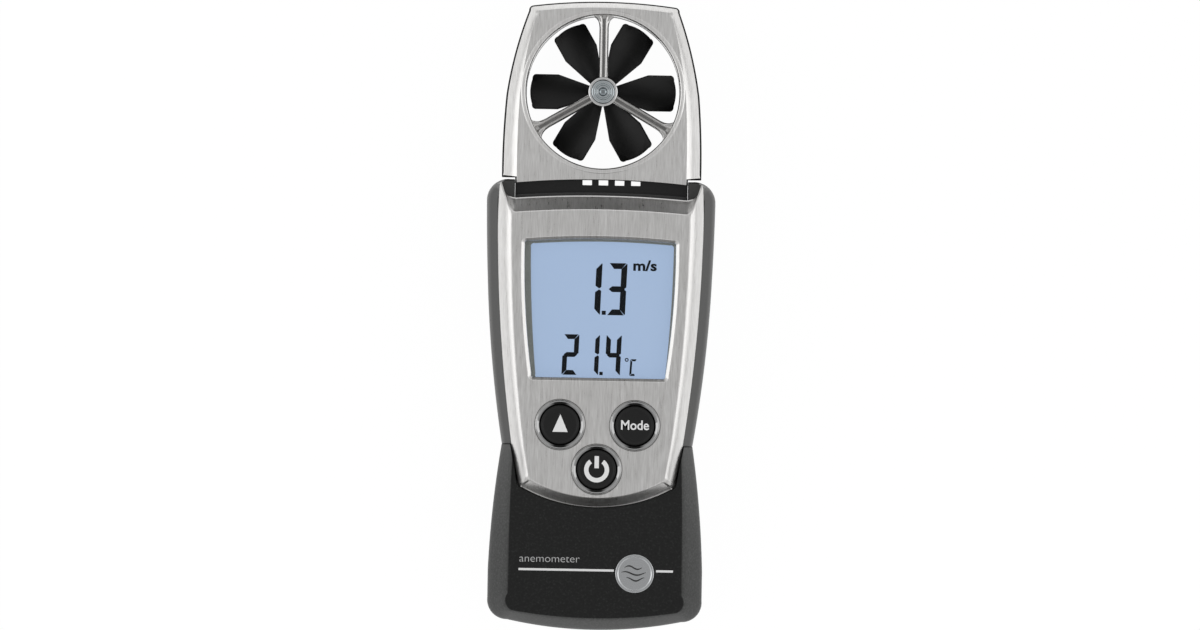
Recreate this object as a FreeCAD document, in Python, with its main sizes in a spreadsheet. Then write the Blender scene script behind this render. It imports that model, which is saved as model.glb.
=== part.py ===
import FreeCAD, Part
import math
import os
import Sketcher
from FreeCAD import Vector, Placement, Rotation

# Handheld vane anemometer, lying on its back.
# +X right, +Y towards the vane head, +Z out of the display face. Millimetres.
# The back plane is Z = 0 and the origin is the middle of the footprint.

doc = FreeCAD.newDocument("vane_anemometer")
sheet = doc.addObject("Spreadsheet::Sheet", "Dimensions")

DIMS = [
    # housing levels
    ("overall_length", 130.0), ("parting_z", 11.8), ("deck_z", 20.0), ("deck_thick", 1.6),
    ("shell_wall", 1.6), ("floor_thick", 2.4), ("waist_y", -26.75), ("saddle_y", 23.9),
    ("stub_half", 18.2), ("stub_end_y", -63.0), ("stub_back_z", 1.8), ("stub_front_z", 19.9), ("stub_step_z", 17.4), ("stub_step_in", 1.7), ("stub_room_top", 16.4),
    # faceplate and display
    ("face_rim_z", 20.7), ("face_z", 23.6), ("face_thick", 1.2), ("window_z", 21.5),
    ("window_thick", 1.0), ("window_gap", 0.05), ("recess_chamfer", 0.8),
    ("lcd_half", 15.5), ("lcd_low_y", -14.4), ("lcd_top_y", 16.2), ("lcd_z", 19.1),
    ("lcd_thick", 1.8), ("backlight_z", 17.1), ("backlight_thick", 1.9),
    ("frame_z", 16.3), ("frame_height", 5.0), ("frame_wall", 1.0),
    # keys
    ("key_radius", 4.2), ("key_top_z", 24.4), ("key_flange_radius", 4.9), ("key_flange_z", 20.7),
    ("key_flange_thick", 0.4), ("key_stem_radius", 1.6), ("key_stem_z", 18.3),
    ("ring_radius", 5.2), ("ring_bore", 4.5), ("ring_top_z", 24.3), ("ring_flange_radius", 5.8),
    ("ring_z", 21.4), ("ring_flange_thick", 0.9),
    ("key_side_x", 7.7), ("key_row_y", -22.6), ("key_power_y", -31.7),
    # electronics
    ("pcb_half", 16.3), ("pcb_top_y", 20.5), ("pcb_low_y", -46.0), ("pcb_z", 14.6), ("pcb_thick", 1.6),
    ("switch_size", 5.0), ("switch_height", 0.8), ("switch_pin_radius", 1.2), ("switch_pin_height", 1.4),
    ("chip_size", 9.0), ("chip_thick", 1.1), ("crystal_radius", 1.0), ("crystal_length", 6.0),
    # batteries, two AAA cells
    ("cell_radius", 5.25), ("cell_length", 44.5), ("nub_radius", 1.9), ("nub_length", 0.8),
    ("cell_x", 5.6), ("cell_z", 7.7), ("bay_low_y", -25.4), ("bay_top_y", 21.1), ("contact_thick", 0.25),
    ("tray_half", 13.0), ("tray_wall_y", 1.2), ("bay_half", 11.3), ("tray_z", 2.4), ("tray_top_z", 13.9),
    ("bay_roof_z", 13.15),
    # battery door
    ("door_half", 12.0), ("door_lip_half", 13.1), ("door_low_y", -25.1), ("door_top_y", 23.6),
    ("door_z", 0.15), ("door_top_z", 2.0), ("door_lip_z", 1.1), ("door_gap", 0.3),
    # head and vane duct
    ("vane_y", 46.2), ("duct_radius", 15.85), ("duct_outer", 17.2), ("head_back_z", 3.6),
    ("head_part_z", 11.3), ("head_face_z", 19.0), ("head_wall", 1.4), ("head_skin", 1.2),
    ("spoke_width", 1.6), ("boss_radius", 3.04), ("axle_radius", 0.5), ("bore_radius", 0.55),
    ("bearing_radius", 1.4), ("hub_radius", 2.7), ("hub_z", 7.4), ("hub_top_z", 14.6),
    ("blade_tip", 15.1), ("blade_half", 3.6), ("blade_pitch", 38.0), ("blade_thick", 0.7),
    ("blade_mid_z", 11.0), ("blade_count", 6.0),
    # neck
    ("neck_half", 17.8), ("neck_back_z", 4.0), ("neck_front_z", 18.4), ("vent_width", 1.95),
    ("vent_pitch", 3.35), ("vent_first_x", -2.95), ("vent_depth", 1.15),
    # base cap
    ("cap_front_z", 21.4), ("cap_cavity_half", 18.5), ("cap_cavity_back", 1.5), ("cap_cavity_front", 20.2), ("cap_cavity_step", 17.55),
    ("cap_cavity_end", -63.15), ("cap_face_gap", 0.3), ("badge_radius", 4.0), ("badge_x", 8.2),
    ("badge_y", -53.1), ("badge_thick", 0.5),
    # screws
    ("screw_radius", 0.9), ("screw_head_radius", 1.9), ("screw_head_thick", 1.4),
]
for row, (alias, value) in enumerate(DIMS, start=1):
    sheet.set("A%d" % row, alias)
    sheet.set("B%d" % row, "%g" % value)
    sheet.setAlias("B%d" % row, alias)
doc.recompute()


def D(alias):
    return float(getattr(sheet, alias))


NODES = []


# ---------------------------------------------------------------- outlines
# An outline is a closed list of (start, middle or None, end), clockwise.

def sym(top_mid, right, bottom_mid):
    """A closed outline symmetric about X = 0 from its right-hand chain."""
    pts = [right[0]] + [q for _, q in right[1:]]
    mids = [m for m, _ in right[1:]]
    segs = [((-pts[0][0], pts[0][1]), top_mid, pts[0])]
    for i, m in enumerate(mids):
        segs.append((pts[i], m, pts[i + 1]))
    segs.append((pts[-1], bottom_mid, (-pts[-1][0], pts[-1][1])))
    for i in reversed(range(len(mids))):
        m = mids[i]
        segs.append(((-pts[i + 1][0], pts[i + 1][1]),
                     None if m is None else (-m[0], m[1]),
                     (-pts[i][0], pts[i][1])))
    return segs


def _centre(p, m, q):
    ax, ay, bx, by, cx, cy = p[0], p[1], m[0], m[1], q[0], q[1]
    d = 2 * (ax * (by - cy) + bx * (cy - ay) + cx * (ay - by))
    if abs(d) < 1e-7:
        return None
    ux = ((ax * ax + ay * ay) * (by - cy) + (bx * bx + by * by) * (cy - ay) + (cx * cx + cy * cy) * (ay - by)) / d
    uy = ((ax * ax + ay * ay) * (cx - bx) + (bx * bx + by * by) * (ax - cx) + (cx * cx + cy * cy) * (bx - ax)) / d
    return ux, uy


def _tangent(seg, at):
    p, m, q = seg
    c = None if m is None else _centre(p, m, q)
    if c is None:
        dx, dy = q[0] - p[0], q[1] - p[1]
    else:
        turn = (m[0] - p[0]) * (q[1] - m[1]) - (m[1] - p[1]) * (q[0] - m[0])
        rx, ry = at[0] - c[0], at[1] - c[1]
        dx, dy = (-ry, rx) if turn > 0 else (ry, -rx)
    n = math.hypot(dx, dy) or 1.0
    return dx / n, dy / n


def inset(segs, d, rule=None):
    """Moves a clockwise outline inwards by d, keeping its edge count."""
    count = len(segs)
    verts = []
    for i in range(count):
        prev, nxt = segs[i - 1], segs[i]
        v = nxt[0]
        t1, t2 = _tangent(prev, v), _tangent(nxt, v)
        n1, n2 = (t1[1], -t1[0]), (t2[1], -t2[0])
        k = 1 + n1[0] * n2[0] + n1[1] * n2[1]
        dx, dy = d * (n1[0] + n2[0]) / k, d * (n1[1] + n2[1]) / k
        if rule:
            dx, dy = rule(v[0], v[1], dx, dy)
        verts.append((v[0] + dx, v[1] + dy))
    out = []
    for i in range(count):
        p, m, q = segs[i]
        if m is not None:
            t = _tangent(segs[i], m)
            dx, dy = d * t[1], -d * t[0]
            if rule:
                dx, dy = rule(m[0], m[1], dx, dy)
            m = (m[0] + dx, m[1] + dy)
        out.append((verts[i], m, verts[(i + 1) % count]))
    return out


def mix(a, b, f):
    """Outline between two outlines of the same edge count."""
    def lerp(u, v):
        return None if u is None or v is None else (u[0] + (v[0] - u[0]) * f, u[1] + (v[1] - u[1]) * f)
    return [(lerp(p, x), lerp(m, y), lerp(q, z)) for (p, m, q), (x, y, z) in zip(a, b)]


def curve(seg, z=0.0):
    p, m, q = seg
    a, b = Vector(p[0], p[1], z), Vector(q[0], q[1], z)
    if m is not None:
        c = _centre(p, m, q)
        if c is not None and math.hypot(p[0] - c[0], p[1] - c[1]) < 5000:
            return Part.Arc(a, Vector(m[0], m[1], z), b)
    return Part.LineSegment(a, b)


def wire(segs, z):
    return Part.Wire([curve(seg, z).toShape() for seg in segs])


def prism(segs, z0, z1):
    return Part.Face(wire(segs, z0)).extrude(Vector(0, 0, z1 - z0))


def stack(levels):
    """A solid through outlines at rising heights, straight or ruled between them."""
    solid = None
    for (z0, s0), (z1, s1) in zip(levels[:-1], levels[1:]):
        if s0 is s1:
            piece = prism(s0, z0, z1)
        else:
            piece = Part.makeLoft([wire(s0, z0), wire(s1, z1)], True, True)
        solid = piece if solid is None else solid.fuse(piece)
    return solid.removeSplitter()


def rect(x0, y0, x1, y1):
    return [((x0, y1), None, (x1, y1)), ((x1, y1), None, (x1, y0)),
            ((x1, y0), None, (x0, y0)), ((x0, y0), None, (x0, y1))]


def round_rect(x0, y0, x1, y1, r):
    k = r * (1 - math.sqrt(0.5))
    return [((x0 + r, y1), None, (x1 - r, y1)), ((x1 - r, y1), (x1 - k, y1 - k), (x1, y1 - r)),
            ((x1, y1 - r), None, (x1, y0 + r)), ((x1, y0 + r), (x1 - k, y0 + k), (x1 - r, y0)),
            ((x1 - r, y0), None, (x0 + r, y0)), ((x0 + r, y0), (x0 + k, y0 + k), (x0, y0 + r)),
            ((x0, y0 + r), None, (x0, y1 - r)), ((x0, y1 - r), (x0 + k, y1 - k), (x0 + r, y1))]


def box(x0, y0, z0, x1, y1, z1):
    return Part.makeBox(x1 - x0, y1 - y0, z1 - z0, Vector(x0, y0, z0))


def rod(x, y, z0, z1, r):
    return Part.makeCylinder(r, z1 - z0, Vector(x, y, z0))


# ---------------------------------------------------------------- document helpers

def plane(body, role):
    for item in body.Origin.OriginFeatures:
        if item.Role == role:
            return item
    raise RuntimeError(role)


def new_body(label):
    body = doc.addObject("PartDesign::Body", label)
    body.Label = label
    NODES.append(body)
    return body


def sketch(body, segs, level, circles=()):
    """Sketch on the body's XY plane, lifted to a level of the sheet or a number."""
    sk = body.newObject("Sketcher::SketchObject", body.Label + "_sketch")
    sk.AttachmentSupport = [(plane(body, "XY_Plane"), "")]
    sk.MapMode = "FlatFace"
    if isinstance(level, str):
        sk.AttachmentOffset = Placement(Vector(0, 0, 0), Rotation())
        sk.setExpression("AttachmentOffset.Base.z", level)
    else:
        sk.AttachmentOffset = Placement(Vector(0, 0, level), Rotation())
    for seg in segs:
        sk.addGeometry(curve(seg), False)
    for x, y, size in circles:
        index = sk.addGeometry(Part.Circle(Vector(x, y, 0), Vector(0, 0, 1), D(size)), False)
        number = sk.addConstraint(Sketcher.Constraint("Radius", index, D(size)))
        sk.setExpression("Constraints[%d]" % number, "Dimensions." + size)
        sk.addConstraint(Sketcher.Constraint("DistanceX", -1, 1, index, 3, x))
        sk.addConstraint(Sketcher.Constraint("DistanceY", -1, 1, index, 3, y))
    doc.recompute()
    return sk


def pad(body, sk, length):
    feature = body.newObject("PartDesign::Pad", body.Label + "_pad")
    feature.Profile = sk
    feature.setExpression("Length", length)
    doc.recompute()
    return feature


def pocket(body, sk, length):
    before = body.Shape.Volume
    feature = body.newObject("PartDesign::Pocket", body.Label + "_pocket")
    feature.Profile = sk
    feature.setExpression("Length", length)
    doc.recompute()
    if not body.Shape.Volume < before - 1e-6:
        raise RuntimeError("pocket cuts nothing in " + body.Label)
    return feature


def feature(label, shape):
    """A node whose form is lofted or boolean work on the outlines above."""
    obj = doc.addObject("Part::Feature", label)
    obj.Label = label
    obj.Shape = shape
    NODES.append(obj)
    return obj


def cylinder(name, radius, height, at):
    obj = doc.addObject("Part::Cylinder", name)
    obj.setExpression("Radius", radius)
    obj.setExpression("Height", height)
    obj.Placement = Placement(Vector(*at), Rotation())
    return obj


def cuboid(name, length, width, height, at):
    obj = doc.addObject("Part::Box", name)
    obj.setExpression("Length", length)
    obj.setExpression("Width", width)
    obj.setExpression("Height", height)
    obj.Placement = Placement(Vector(*at), Rotation())
    return obj


# ---------------------------------------------------------------- outlines of the object
SADDLE = D("saddle_y")
WAIST = D("waist_y")

# hand-held body above the waist, with a saddle for the neck between two shoulders
BODY = sym(None, [(18.0, SADDLE), (None, (18.0, 27.9)), (None, (18.7, 27.9)),
                  ((22.45, 26.55), (23.65, 23.3)), ((23.5, 15.6), (23.2, 7.4)),
                  ((22.02, -9.6), (19.73, WAIST))], None)


def body_rule(x, y, dx, dy):
    if abs(y - WAIST) < 0.01:
        return dx, 0.0
    if abs(abs(x) - 18.0) < 0.01:
        return 0.0, (0.0 if abs(y - SADDLE) < 0.01 else max(dy, -0.35))
    if y > 27.5:
        return dx * 0.35, max(dy, -0.35)
    return dx, dy


def body_in(d):
    return inset(BODY, d, body_rule)


# room inside the body shells, without the two shoulders
ROOM = sym(None, [(18.9, 22.4), ((21.3, 21.55), (22.05, 19.4)), ((21.95, 14.0), (21.6, 7.4)),
                  ((20.4, -9.6), (18.1, WAIST + 0.4))], None)
STUB = sym(None, [(D("stub_half"), WAIST + 1.0), (None, (D("stub_half"), -59.5)),
                  ((17.2, -62.0), (14.6, D("stub_end_y")))], None)

# brushed faceplate: foot outline and raised flat outline
PLATE = sym((0, 24.7), [(17.5, 24.0), ((19.75, 25.0), (20.6, 27.25)), (None, (20.95, 27.15)),
                        ((21.2, 20.4), (21.1, 13.6)), ((19.98, -6.75), (17.6, -27.1)),
                        (None, (16.2, -34.6)), ((16.0, -35.25), (15.4, -35.65))], (0, -39.5))
FLAT = sym((0, 21.65), [(17.3, 20.9), ((17.95, 20.7), (18.3, 20.1)), (None, (18.33, 19.8)),
                        ((18.36, 17.0), (18.25, 13.6)), ((17.3, -6.75), (15.1, -27.1)),
                        (None, (14.1, -32.9)), ((13.9, -33.6), (13.3, -34.05))], (0, -37.5))
PLATE_UNDER = sym((0, 23.4), [(17.2, 22.8), ((18.9, 22.3), (19.8, 21.3)), (None, (19.86, 21.1)),
                              ((20.0, 18.0), (19.9, 13.6)), ((18.78, -6.75), (16.4, -27.1)),
                              (None, (15.1, -33.9)), ((14.95, -34.45), (14.5, -34.75))], (0, -38.3))
DISPLAY = sym((0, 16.6), [(14.9, 15.95), ((16.05, 15.6), (16.4, 14.5)), ((16.0, 0.4), (14.65, -12.2)),
                          ((14.3, -13.3), (13.2, -13.7))], None)

# vane head, and its flat front
HEAD = sym((0, 65.0), [(14.8, 64.0), ((15.32, 63.72), (15.6, 62.9)), ((18.0, 55.4), (20.0, 45.5)),
                       ((20.5, 38.0), (20.65, 28.4)), (None, (17.9, 28.4)), (None, (17.9, 27.2))], (0, 28.1))
HEAD_FLAT = sym((0, 63.55), [(13.3, 62.7), ((13.75, 62.5), (14.0, 61.9)), ((15.75, 54.9), (17.2, 45.5)),
                             ((17.5, 38.0), (17.55, 28.4)), (None, (17.5, 28.4)), (None, (17.5, 27.22))], (0, 28.1))


HEAD_BACK = sym((0, 63.6), [(13.9, 62.7), ((14.25, 62.45), (14.4, 61.9)), ((16.6, 55.0), (18.6, 45.5)),
                            ((19.1, 38.0), (19.25, 28.4)), (None, (17.6, 28.4)), (None, (17.6, 27.2))], (0, 28.1))
# room inside the head, and the lower room under the bevelled front
HEAD_ROOM = sym((0, 63.5), [(13.75, 62.65), ((14.05, 62.4), (14.2, 61.9)), ((16.6, 55.0), (18.55, 45.5)),
                            ((19.1, 38.0), (19.25, 29.8)), (None, (17.0, 29.8)), (None, (17.0, 28.4))], (0, 28.95))
HEAD_ROOM_TOP = sym((0, 62.5), [(12.5, 61.7), ((12.85, 61.5), (13.05, 61.0)), ((14.75, 54.7), (16.3, 45.4)),
                                ((16.6, 38.0), (16.7, 30.4)), (None, (16.3, 30.4)), (None, (16.3, 29.5))], (0, 30.1))


# black base cap, and its flat front
CAP = sym(None, [(19.73, -26.9), ((21.2, -38.4), (22.16, -52.7)), (None, (22.16, -58.6)),
                 ((21.0, -61.9), (18.0, -63.1))], (0, -65.0))
CAP_FLAT = sym(None, [(17.5, -26.9), ((17.95, -38.4), (18.15, -52.7)), (None, (18.2, -57.6)),
                      ((18.0, -60.55), (17.0, -61.2))], (0, -62.6))


def cap_rule(x, y, dx, dy):
    return (dx, 0.0) if y > -27.0 else (dx, dy)


def cap_in(d):
    return inset(CAP, d, cap_rule)


PART_Z = D("parting_z")
DECK = D("deck_z")
WALL = D("shell_wall")
FLOOR = D("floor_thick")
KEYS = {"up": (-D("key_side_x"), D("key_row_y")), "mode": (D("key_side_x"), D("key_row_y")),
        "power": (0.0, D("key_power_y"))}
SCREWS = [(19.0, 17.0), (-19.0, 17.0), (13.0, -54.0), (-13.0, -54.0)]
HEAD_SCREWS = [(13.5, 60.0), (-13.5, 60.0), (17.0, 31.2), (-17.0, 31.2)]

# ---------------------------------------------------------------- rear shell
back = [(0.0, body_in(2.6)), (0.8, body_in(1.25)), (2.4, body_in(0.35)), (5.0, BODY), (PART_Z, BODY)]
outer = stack(back).fuse(prism(STUB, D("stub_back_z"), PART_Z))
inner = prism(ROOM, FLOOR + 2.6, PART_Z + 1)
inner = inner.fuse(prism(inset(ROOM, 1.6), FLOOR, FLOOR + 3.0))
inner = inner.fuse(box(-13.35, D("bay_low_y") - 1.25, FLOOR, 13.35, 22.4, FLOOR + 3.0))
inner = inner.fuse(prism(inset(STUB, 1.5), D("stub_back_z") + 1.5, PART_Z + 1))
inner = inner.fuse(box(-16.7, WAIST - 3, FLOOR + 1.0, 16.7, WAIST + 4, PART_Z + 1))
shell = outer.cut(inner)
for x, y in SCREWS:
    shell = shell.fuse(rod(x, y, 2.0, PART_Z, 2.3))
for x, y in SCREWS:
    low = 0.0 if y > WAIST else D("stub_back_z")
    shell = shell.cut(rod(x, y, low - 1, low + 2.0, D("screw_head_radius") + 0.15))
    shell = shell.cut(rod(x, y, low, PART_Z + 1, D("screw_radius") + 0.1))
gap = D("door_gap")
shell = shell.cut(box(-D("door_half") - gap, D("bay_low_y"), -1, D("door_half") + gap, SADDLE + 1, FLOOR + 0.2))
shell = shell.cut(box(-D("door_lip_half") - gap, D("bay_low_y"), D("door_lip_z") - gap,
                      D("door_lip_half") + gap, SADDLE + 1, FLOOR + 0.2))
shell = shell.cut(box(-15.9, 20.0, 10.9, -13.3, SADDLE + 1, PART_Z + 1))
rear_shell = feature("rear_shell", shell.removeSplitter())

# ---------------------------------------------------------------- front shell with the deck
front = [(PART_Z, BODY), (16.0, BODY), (18.5, body_in(0.85)), (DECK, body_in(2.3))]
outer = stack(front).fuse(prism(STUB, PART_Z, D("stub_step_z")))
# the roof of the stub steps in, so that the cap keeps a full wall behind its side bevels
outer = outer.fuse(prism(inset(STUB, D("stub_step_in")), D("stub_step_z") - 0.1, D("stub_front_z")))
outer = outer.fuse(box(-16.5, WAIST - 3, D("stub_step_z") - 0.1, 16.5, WAIST + 1.0, D("stub_front_z")))
deck_under = DECK - D("deck_thick")
inner = prism(ROOM, PART_Z - 1, 15.6)
inner = inner.fuse(prism(inset(ROOM, 1.7), PART_Z - 1, deck_under))
inner = inner.fuse(prism(inset(STUB, 1.5), PART_Z - 1, D("stub_room_top")))
inner = inner.fuse(prism(inset(STUB, 1.5 + D("stub_step_in")), PART_Z - 1, deck_under))
inner = inner.fuse(box(-16.7, WAIST - 3, PART_Z - 1, 16.7, WAIST + 4, D("stub_room_top")))
inner = inner.fuse(box(-14.8, WAIST - 3, PART_Z - 1, 14.8, WAIST + 4, deck_under))
shell = outer.cut(inner)
for x, y in SCREWS:
    shell = shell.fuse(rod(x, y, PART_Z, deck_under + 0.2, 1.9 if y > WAIST else 2.3))
for x, y in [(14.3, 19.4), (-14.3, 19.4), (13.5, -42.5), (-13.5, -42.5)]:
    shell = shell.fuse(rod(x, y, D("pcb_z") + D("pcb_thick"), deck_under + 0.2, 1.6))
for x, y in SCREWS:
    shell = shell.cut(rod(x, y, PART_Z - 1, 17.4, D("screw_radius")))
shell = shell.cut(box(-17.0, -15.7, deck_under - 1, 17.0, 17.4, DECK + 1))
for x, y in KEYS.values():
    shell = shell.cut(rod(x, y, deck_under - 1, DECK + 1, 2.1))
front_shell = feature("front_shell", shell.removeSplitter())

# ---------------------------------------------------------------- faceplate
RIM_Z, FACE_Z, SKIN = D("face_rim_z"), D("face_z"), D("face_thick")
outer = stack([(DECK, PLATE), (RIM_Z, PLATE), (22.9, mix(PLATE, FLAT, 0.66)), (FACE_Z, FLAT)])
under = PLATE_UNDER
inner = stack([(DECK - 1, under), (RIM_Z - 0.2, under), (FACE_Z - SKIN, inset(FLAT, 0.75))])
plate = outer.cut(inner)
chamfer = D("recess_chamfer")
well = inset(DISPLAY, chamfer)
plate = plate.cut(prism(well, DECK - 1, FACE_Z + 1))
plate = plate.cut(stack([(FACE_Z - chamfer, well), (FACE_Z, DISPLAY), (FACE_Z + 0.5, inset(DISPLAY, -0.5))]))
for x, y in KEYS.values():
    plate = plate.cut(rod(x, y, DECK, FACE_Z + 1, D("ring_radius") + 0.05))
    plate = plate.cut(rod(x, y, DECK, FACE_Z - SKIN, D("ring_flange_radius") + 0.05))
faceplate = feature("faceplate", plate.removeSplitter())

# ---------------------------------------------------------------- window, display stack
node = new_body("display_window")
pad(node, sketch(node, inset(DISPLAY, chamfer + D("window_gap")), "Dimensions.window_z"),
    "Dimensions.window_thick")
node = new_body("lcd_glass")
pad(node, sketch(node, rect(-D("lcd_half"), D("lcd_low_y"), D("lcd_half"), D("lcd_top_y")), "Dimensions.lcd_z"),
    "Dimensions.lcd_thick")
node = new_body("lcd_backlight")
pad(node, sketch(node, rect(-D("lcd_half") + 0.3, D("lcd_low_y") + 0.3, D("lcd_half") - 0.3, D("lcd_top_y") - 0.3),
                 "Dimensions.backlight_z"), "Dimensions.backlight_thick")
node = new_body("lcd_frame")
w = D("frame_wall")
pad(node, sketch(node, round_rect(-D("lcd_half") - w, D("lcd_low_y") - w, D("lcd_half") + w, D("lcd_top_y") + w, 0.8)
                 + rect(-D("lcd_half") + 0.0, D("lcd_low_y"), D("lcd_half"), D("lcd_top_y")),
                 "Dimensions.frame_z"), "Dimensions.frame_height")
feature("zebra_strips", Part.makeCompound([
    box(-14.0, D("lcd_low_y") + 0.05, D("frame_z"), 14.0, D("lcd_low_y") + 0.28, D("lcd_z")),
    box(-14.0, D("lcd_top_y") - 0.28, D("frame_z"), 14.0, D("lcd_top_y") - 0.05, D("lcd_z"))]))

# ---------------------------------------------------------------- board
node = new_body("main_pcb")
pad(node, sketch(node, round_rect(-D("pcb_half"), D("pcb_low_y"), D("pcb_half"), D("pcb_top_y"), 1.5),
                 "Dimensions.pcb_z"), "Dimensions.pcb_thick")
switches = []
for key, (x, y) in KEYS.items():
    base = cuboid("switch_base_" + key, "Dimensions.switch_size", "Dimensions.switch_size", "Dimensions.switch_height",
                  (x - D("switch_size") / 2, y - D("switch_size") / 2, D("pcb_z") + D("pcb_thick")))
    pin = cylinder("switch_pin_" + key, "Dimensions.switch_pin_radius", "Dimensions.switch_pin_height",
                   (x, y, D("pcb_z") + D("pcb_thick")))
    one = doc.addObject("Part::Fuse", "switch_" + key)
    one.Base, one.Tool = base, pin
    switches.append(one)
group = doc.addObject("Part::Compound", "tact_switches")
group.Links = switches
group.Label = "tact_switches"
NODES.append(group)
chip = cuboid("controller_chip", "Dimensions.chip_size", "Dimensions.chip_size", "Dimensions.chip_thick",
              (-D("chip_size") / 2, -40.0, D("pcb_z") - D("chip_thick")))
chip.Label = "controller_chip"
NODES.append(chip)
crystal = cylinder("quartz_crystal", "Dimensions.crystal_radius", "Dimensions.crystal_length", (0, 0, 0))
crystal.Placement = Placement(Vector(8.0, -33.0, D("pcb_z") - D("crystal_radius")), Rotation(Vector(1, 0, 0), 90))
crystal.Label = "quartz_crystal"
NODES.append(crystal)

# ---------------------------------------------------------------- keys and chrome rings
for key, (x, y) in KEYS.items():
    node = new_body("button_" + key)
    pad(node, sketch(node, [], "Dimensions.key_flange_z", [(x, y, "key_flange_radius")]),
        "Dimensions.key_flange_thick")
    top = pad(node, sketch(node, [], "Dimensions.key_flange_z", [(x, y, "key_radius")]),
              "Dimensions.key_top_z - Dimensions.key_flange_z")
    stem = pad(node, sketch(node, [], "Dimensions.key_stem_z", [(x, y, "key_stem_radius")]),
               "Dimensions.key_flange_z - Dimensions.key_stem_z")
    names = []
    for number, edge in enumerate(node.Shape.Edges, start=1):
        box_ = edge.BoundBox
        if box_.ZMin > D("key_top_z") - 0.01 and len(edge.Vertexes) == 1:
            names.append("Edge%d" % number)
    soft = node.newObject("PartDesign::Fillet", "button_%s_soft_edge" % key)
    soft.Base = (stem, names)
    soft.Radius = 0.35
    node.Tip = soft
    doc.recompute()

    node = new_body("button_ring_" + key)
    pad(node, sketch(node, [], "Dimensions.ring_z", [(x, y, "ring_flange_radius"), (x, y, "ring_bore")]),
        "Dimensions.ring_flange_thick")
    last = pad(node, sketch(node, [], "Dimensions.ring_z", [(x, y, "ring_radius"), (x, y, "ring_bore")]),
               "Dimensions.ring_top_z - Dimensions.ring_z")
    names = []
    for number, edge in enumerate(node.Shape.Edges, start=1):
        box_ = edge.BoundBox
        if box_.ZMin > D("ring_top_z") - 0.01 and box_.XLength > 2 * D("ring_bore") + 0.2:
            names.append("Edge%d" % number)
    soft = node.newObject("PartDesign::Fillet", "button_ring_%s_soft_edge" % key)
    soft.Base = (last, names)
    soft.Radius = 0.3
    node.Tip = soft
    doc.recompute()

# ---------------------------------------------------------------- batteries, tray, contacts
BL, BT, CT = D("bay_low_y"), D("bay_top_y"), D("contact_thick")
node = new_body("battery_tray")
tw = D("tray_wall_y")
pad(node, sketch(node, rect(-D("tray_half"), BL - tw, D("tray_half"), BT + tw), "Dimensions.tray_z"),
    "Dimensions.tray_top_z - Dimensions.tray_z")
pocket(node, sketch(node, rect(-D("bay_half"), BL, D("bay_half"), BT), "Dimensions.bay_roof_z"),
       "Dimensions.bay_roof_z - Dimensions.tray_z")


def cell(x, low, up):
    y0 = low if up else low + D("nub_length")
    length = D("cell_length") - D("nub_length")
    can = Part.makeCylinder(D("cell_radius"), length, Vector(x, y0, D("cell_z")), Vector(0, 1, 0))
    can = can.makeChamfer(0.35, [e for e in can.Edges if len(e.Vertexes) == 1])
    nub_y = y0 + length if up else low
    nub = Part.makeCylinder(D("nub_radius"), D("nub_length"), Vector(x, nub_y, D("cell_z")), Vector(0, 1, 0))
    return can.fuse(nub)


feature("battery_1", cell(-D("cell_x"), BT - CT - D("cell_length"), True))
feature("battery_2", cell(D("cell_x"), BL + CT, False))


def spring(x, y, direction):
    """Conical contact spring, one end on the plate and the other on the cell."""
    room = BT - BL - 2 * CT - D("cell_length")
    coils = []
    for i, radius in enumerate((3.4, 2.7)):
        ring = Part.makeTorus(radius, 0.36, Vector(x, y + direction * (0.37 + i * (room - 0.75)), D("cell_z")),
                              Vector(0, 1, 0))
        coils.append(ring)
    link = Part.makeCylinder(0.3, room - 0.4, Vector(x + 3.05, y + direction * 0.2, D("cell_z")),
                             Vector(0, direction, 0))
    return coils[0].fuse(coils[1]).fuse(link)


feature("battery_springs", Part.makeCompound([spring(-D("cell_x"), BL + CT, 1), spring(D("cell_x"), BT - CT, -1)]))
feature("battery_contacts", Part.makeCompound([
    box(-10.2, BL, 3.4, 10.2, BL + CT, 12.0),
    box(-10.2, BT - CT, 3.4, -1.4, BT, 12.0),
    box(1.4, BT - CT, 3.4, 10.2, BT, 12.0)]))

node = new_body("battery_door")
pad(node, sketch(node, rect(-D("door_half"), D("door_low_y"), D("door_half"), D("door_top_y")), "Dimensions.door_z"),
    "Dimensions.door_top_z - Dimensions.door_z")
pad(node, sketch(node, rect(-D("door_lip_half"), D("door_low_y"), D("door_lip_half"), D("door_top_y")),
                 "Dimensions.door_lip_z"), "Dimensions.door_top_z - Dimensions.door_lip_z")
for i in range(5):
    y = -19.0 + i * 1.8
    feature_ = node.newObject("PartDesign::Pocket", "door_grip_%d" % (i + 1))
    feature_.Profile = sketch(node, round_rect(-5.0 + i * 0.0, y, 5.0, y + 0.9, 0.3), D("door_z") + 0.5)
    feature_.Length = 0.6
    doc.recompute()

# ---------------------------------------------------------------- screws


def screw(x, y, z, length, radius, head, head_thick):
    body = rod(x, y, z, z + head_thick, head).fuse(rod(x, y, z, z + length, radius))
    for angle in (0, 90):
        slot = box(x - head * 0.62, y - 0.22, z - 0.1, x + head * 0.62, y + 0.22, z + 0.75)
        slot.rotate(Vector(x, y, 0), Vector(0, 0, 1), angle + 20)
        body = body.cut(slot)
    return body


feature("housing_screws", Part.makeCompound([
    screw(x, y, z, 16.8 - z, D("screw_radius"), D("screw_head_radius"), D("screw_head_thick"))
    for x, y, z in [(x, y, 0.6 if y > WAIST else D("stub_back_z") + 0.6) for x, y in SCREWS]]))

# ---------------------------------------------------------------- vane head
VY = D("vane_y")
HB, HP, HF = D("head_back_z"), D("head_part_z"), D("head_face_z")
HW = D("head_wall")


DUCT_HOLE = rod(0, VY, HB - 1, HF + 1, D("duct_radius"))
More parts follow.
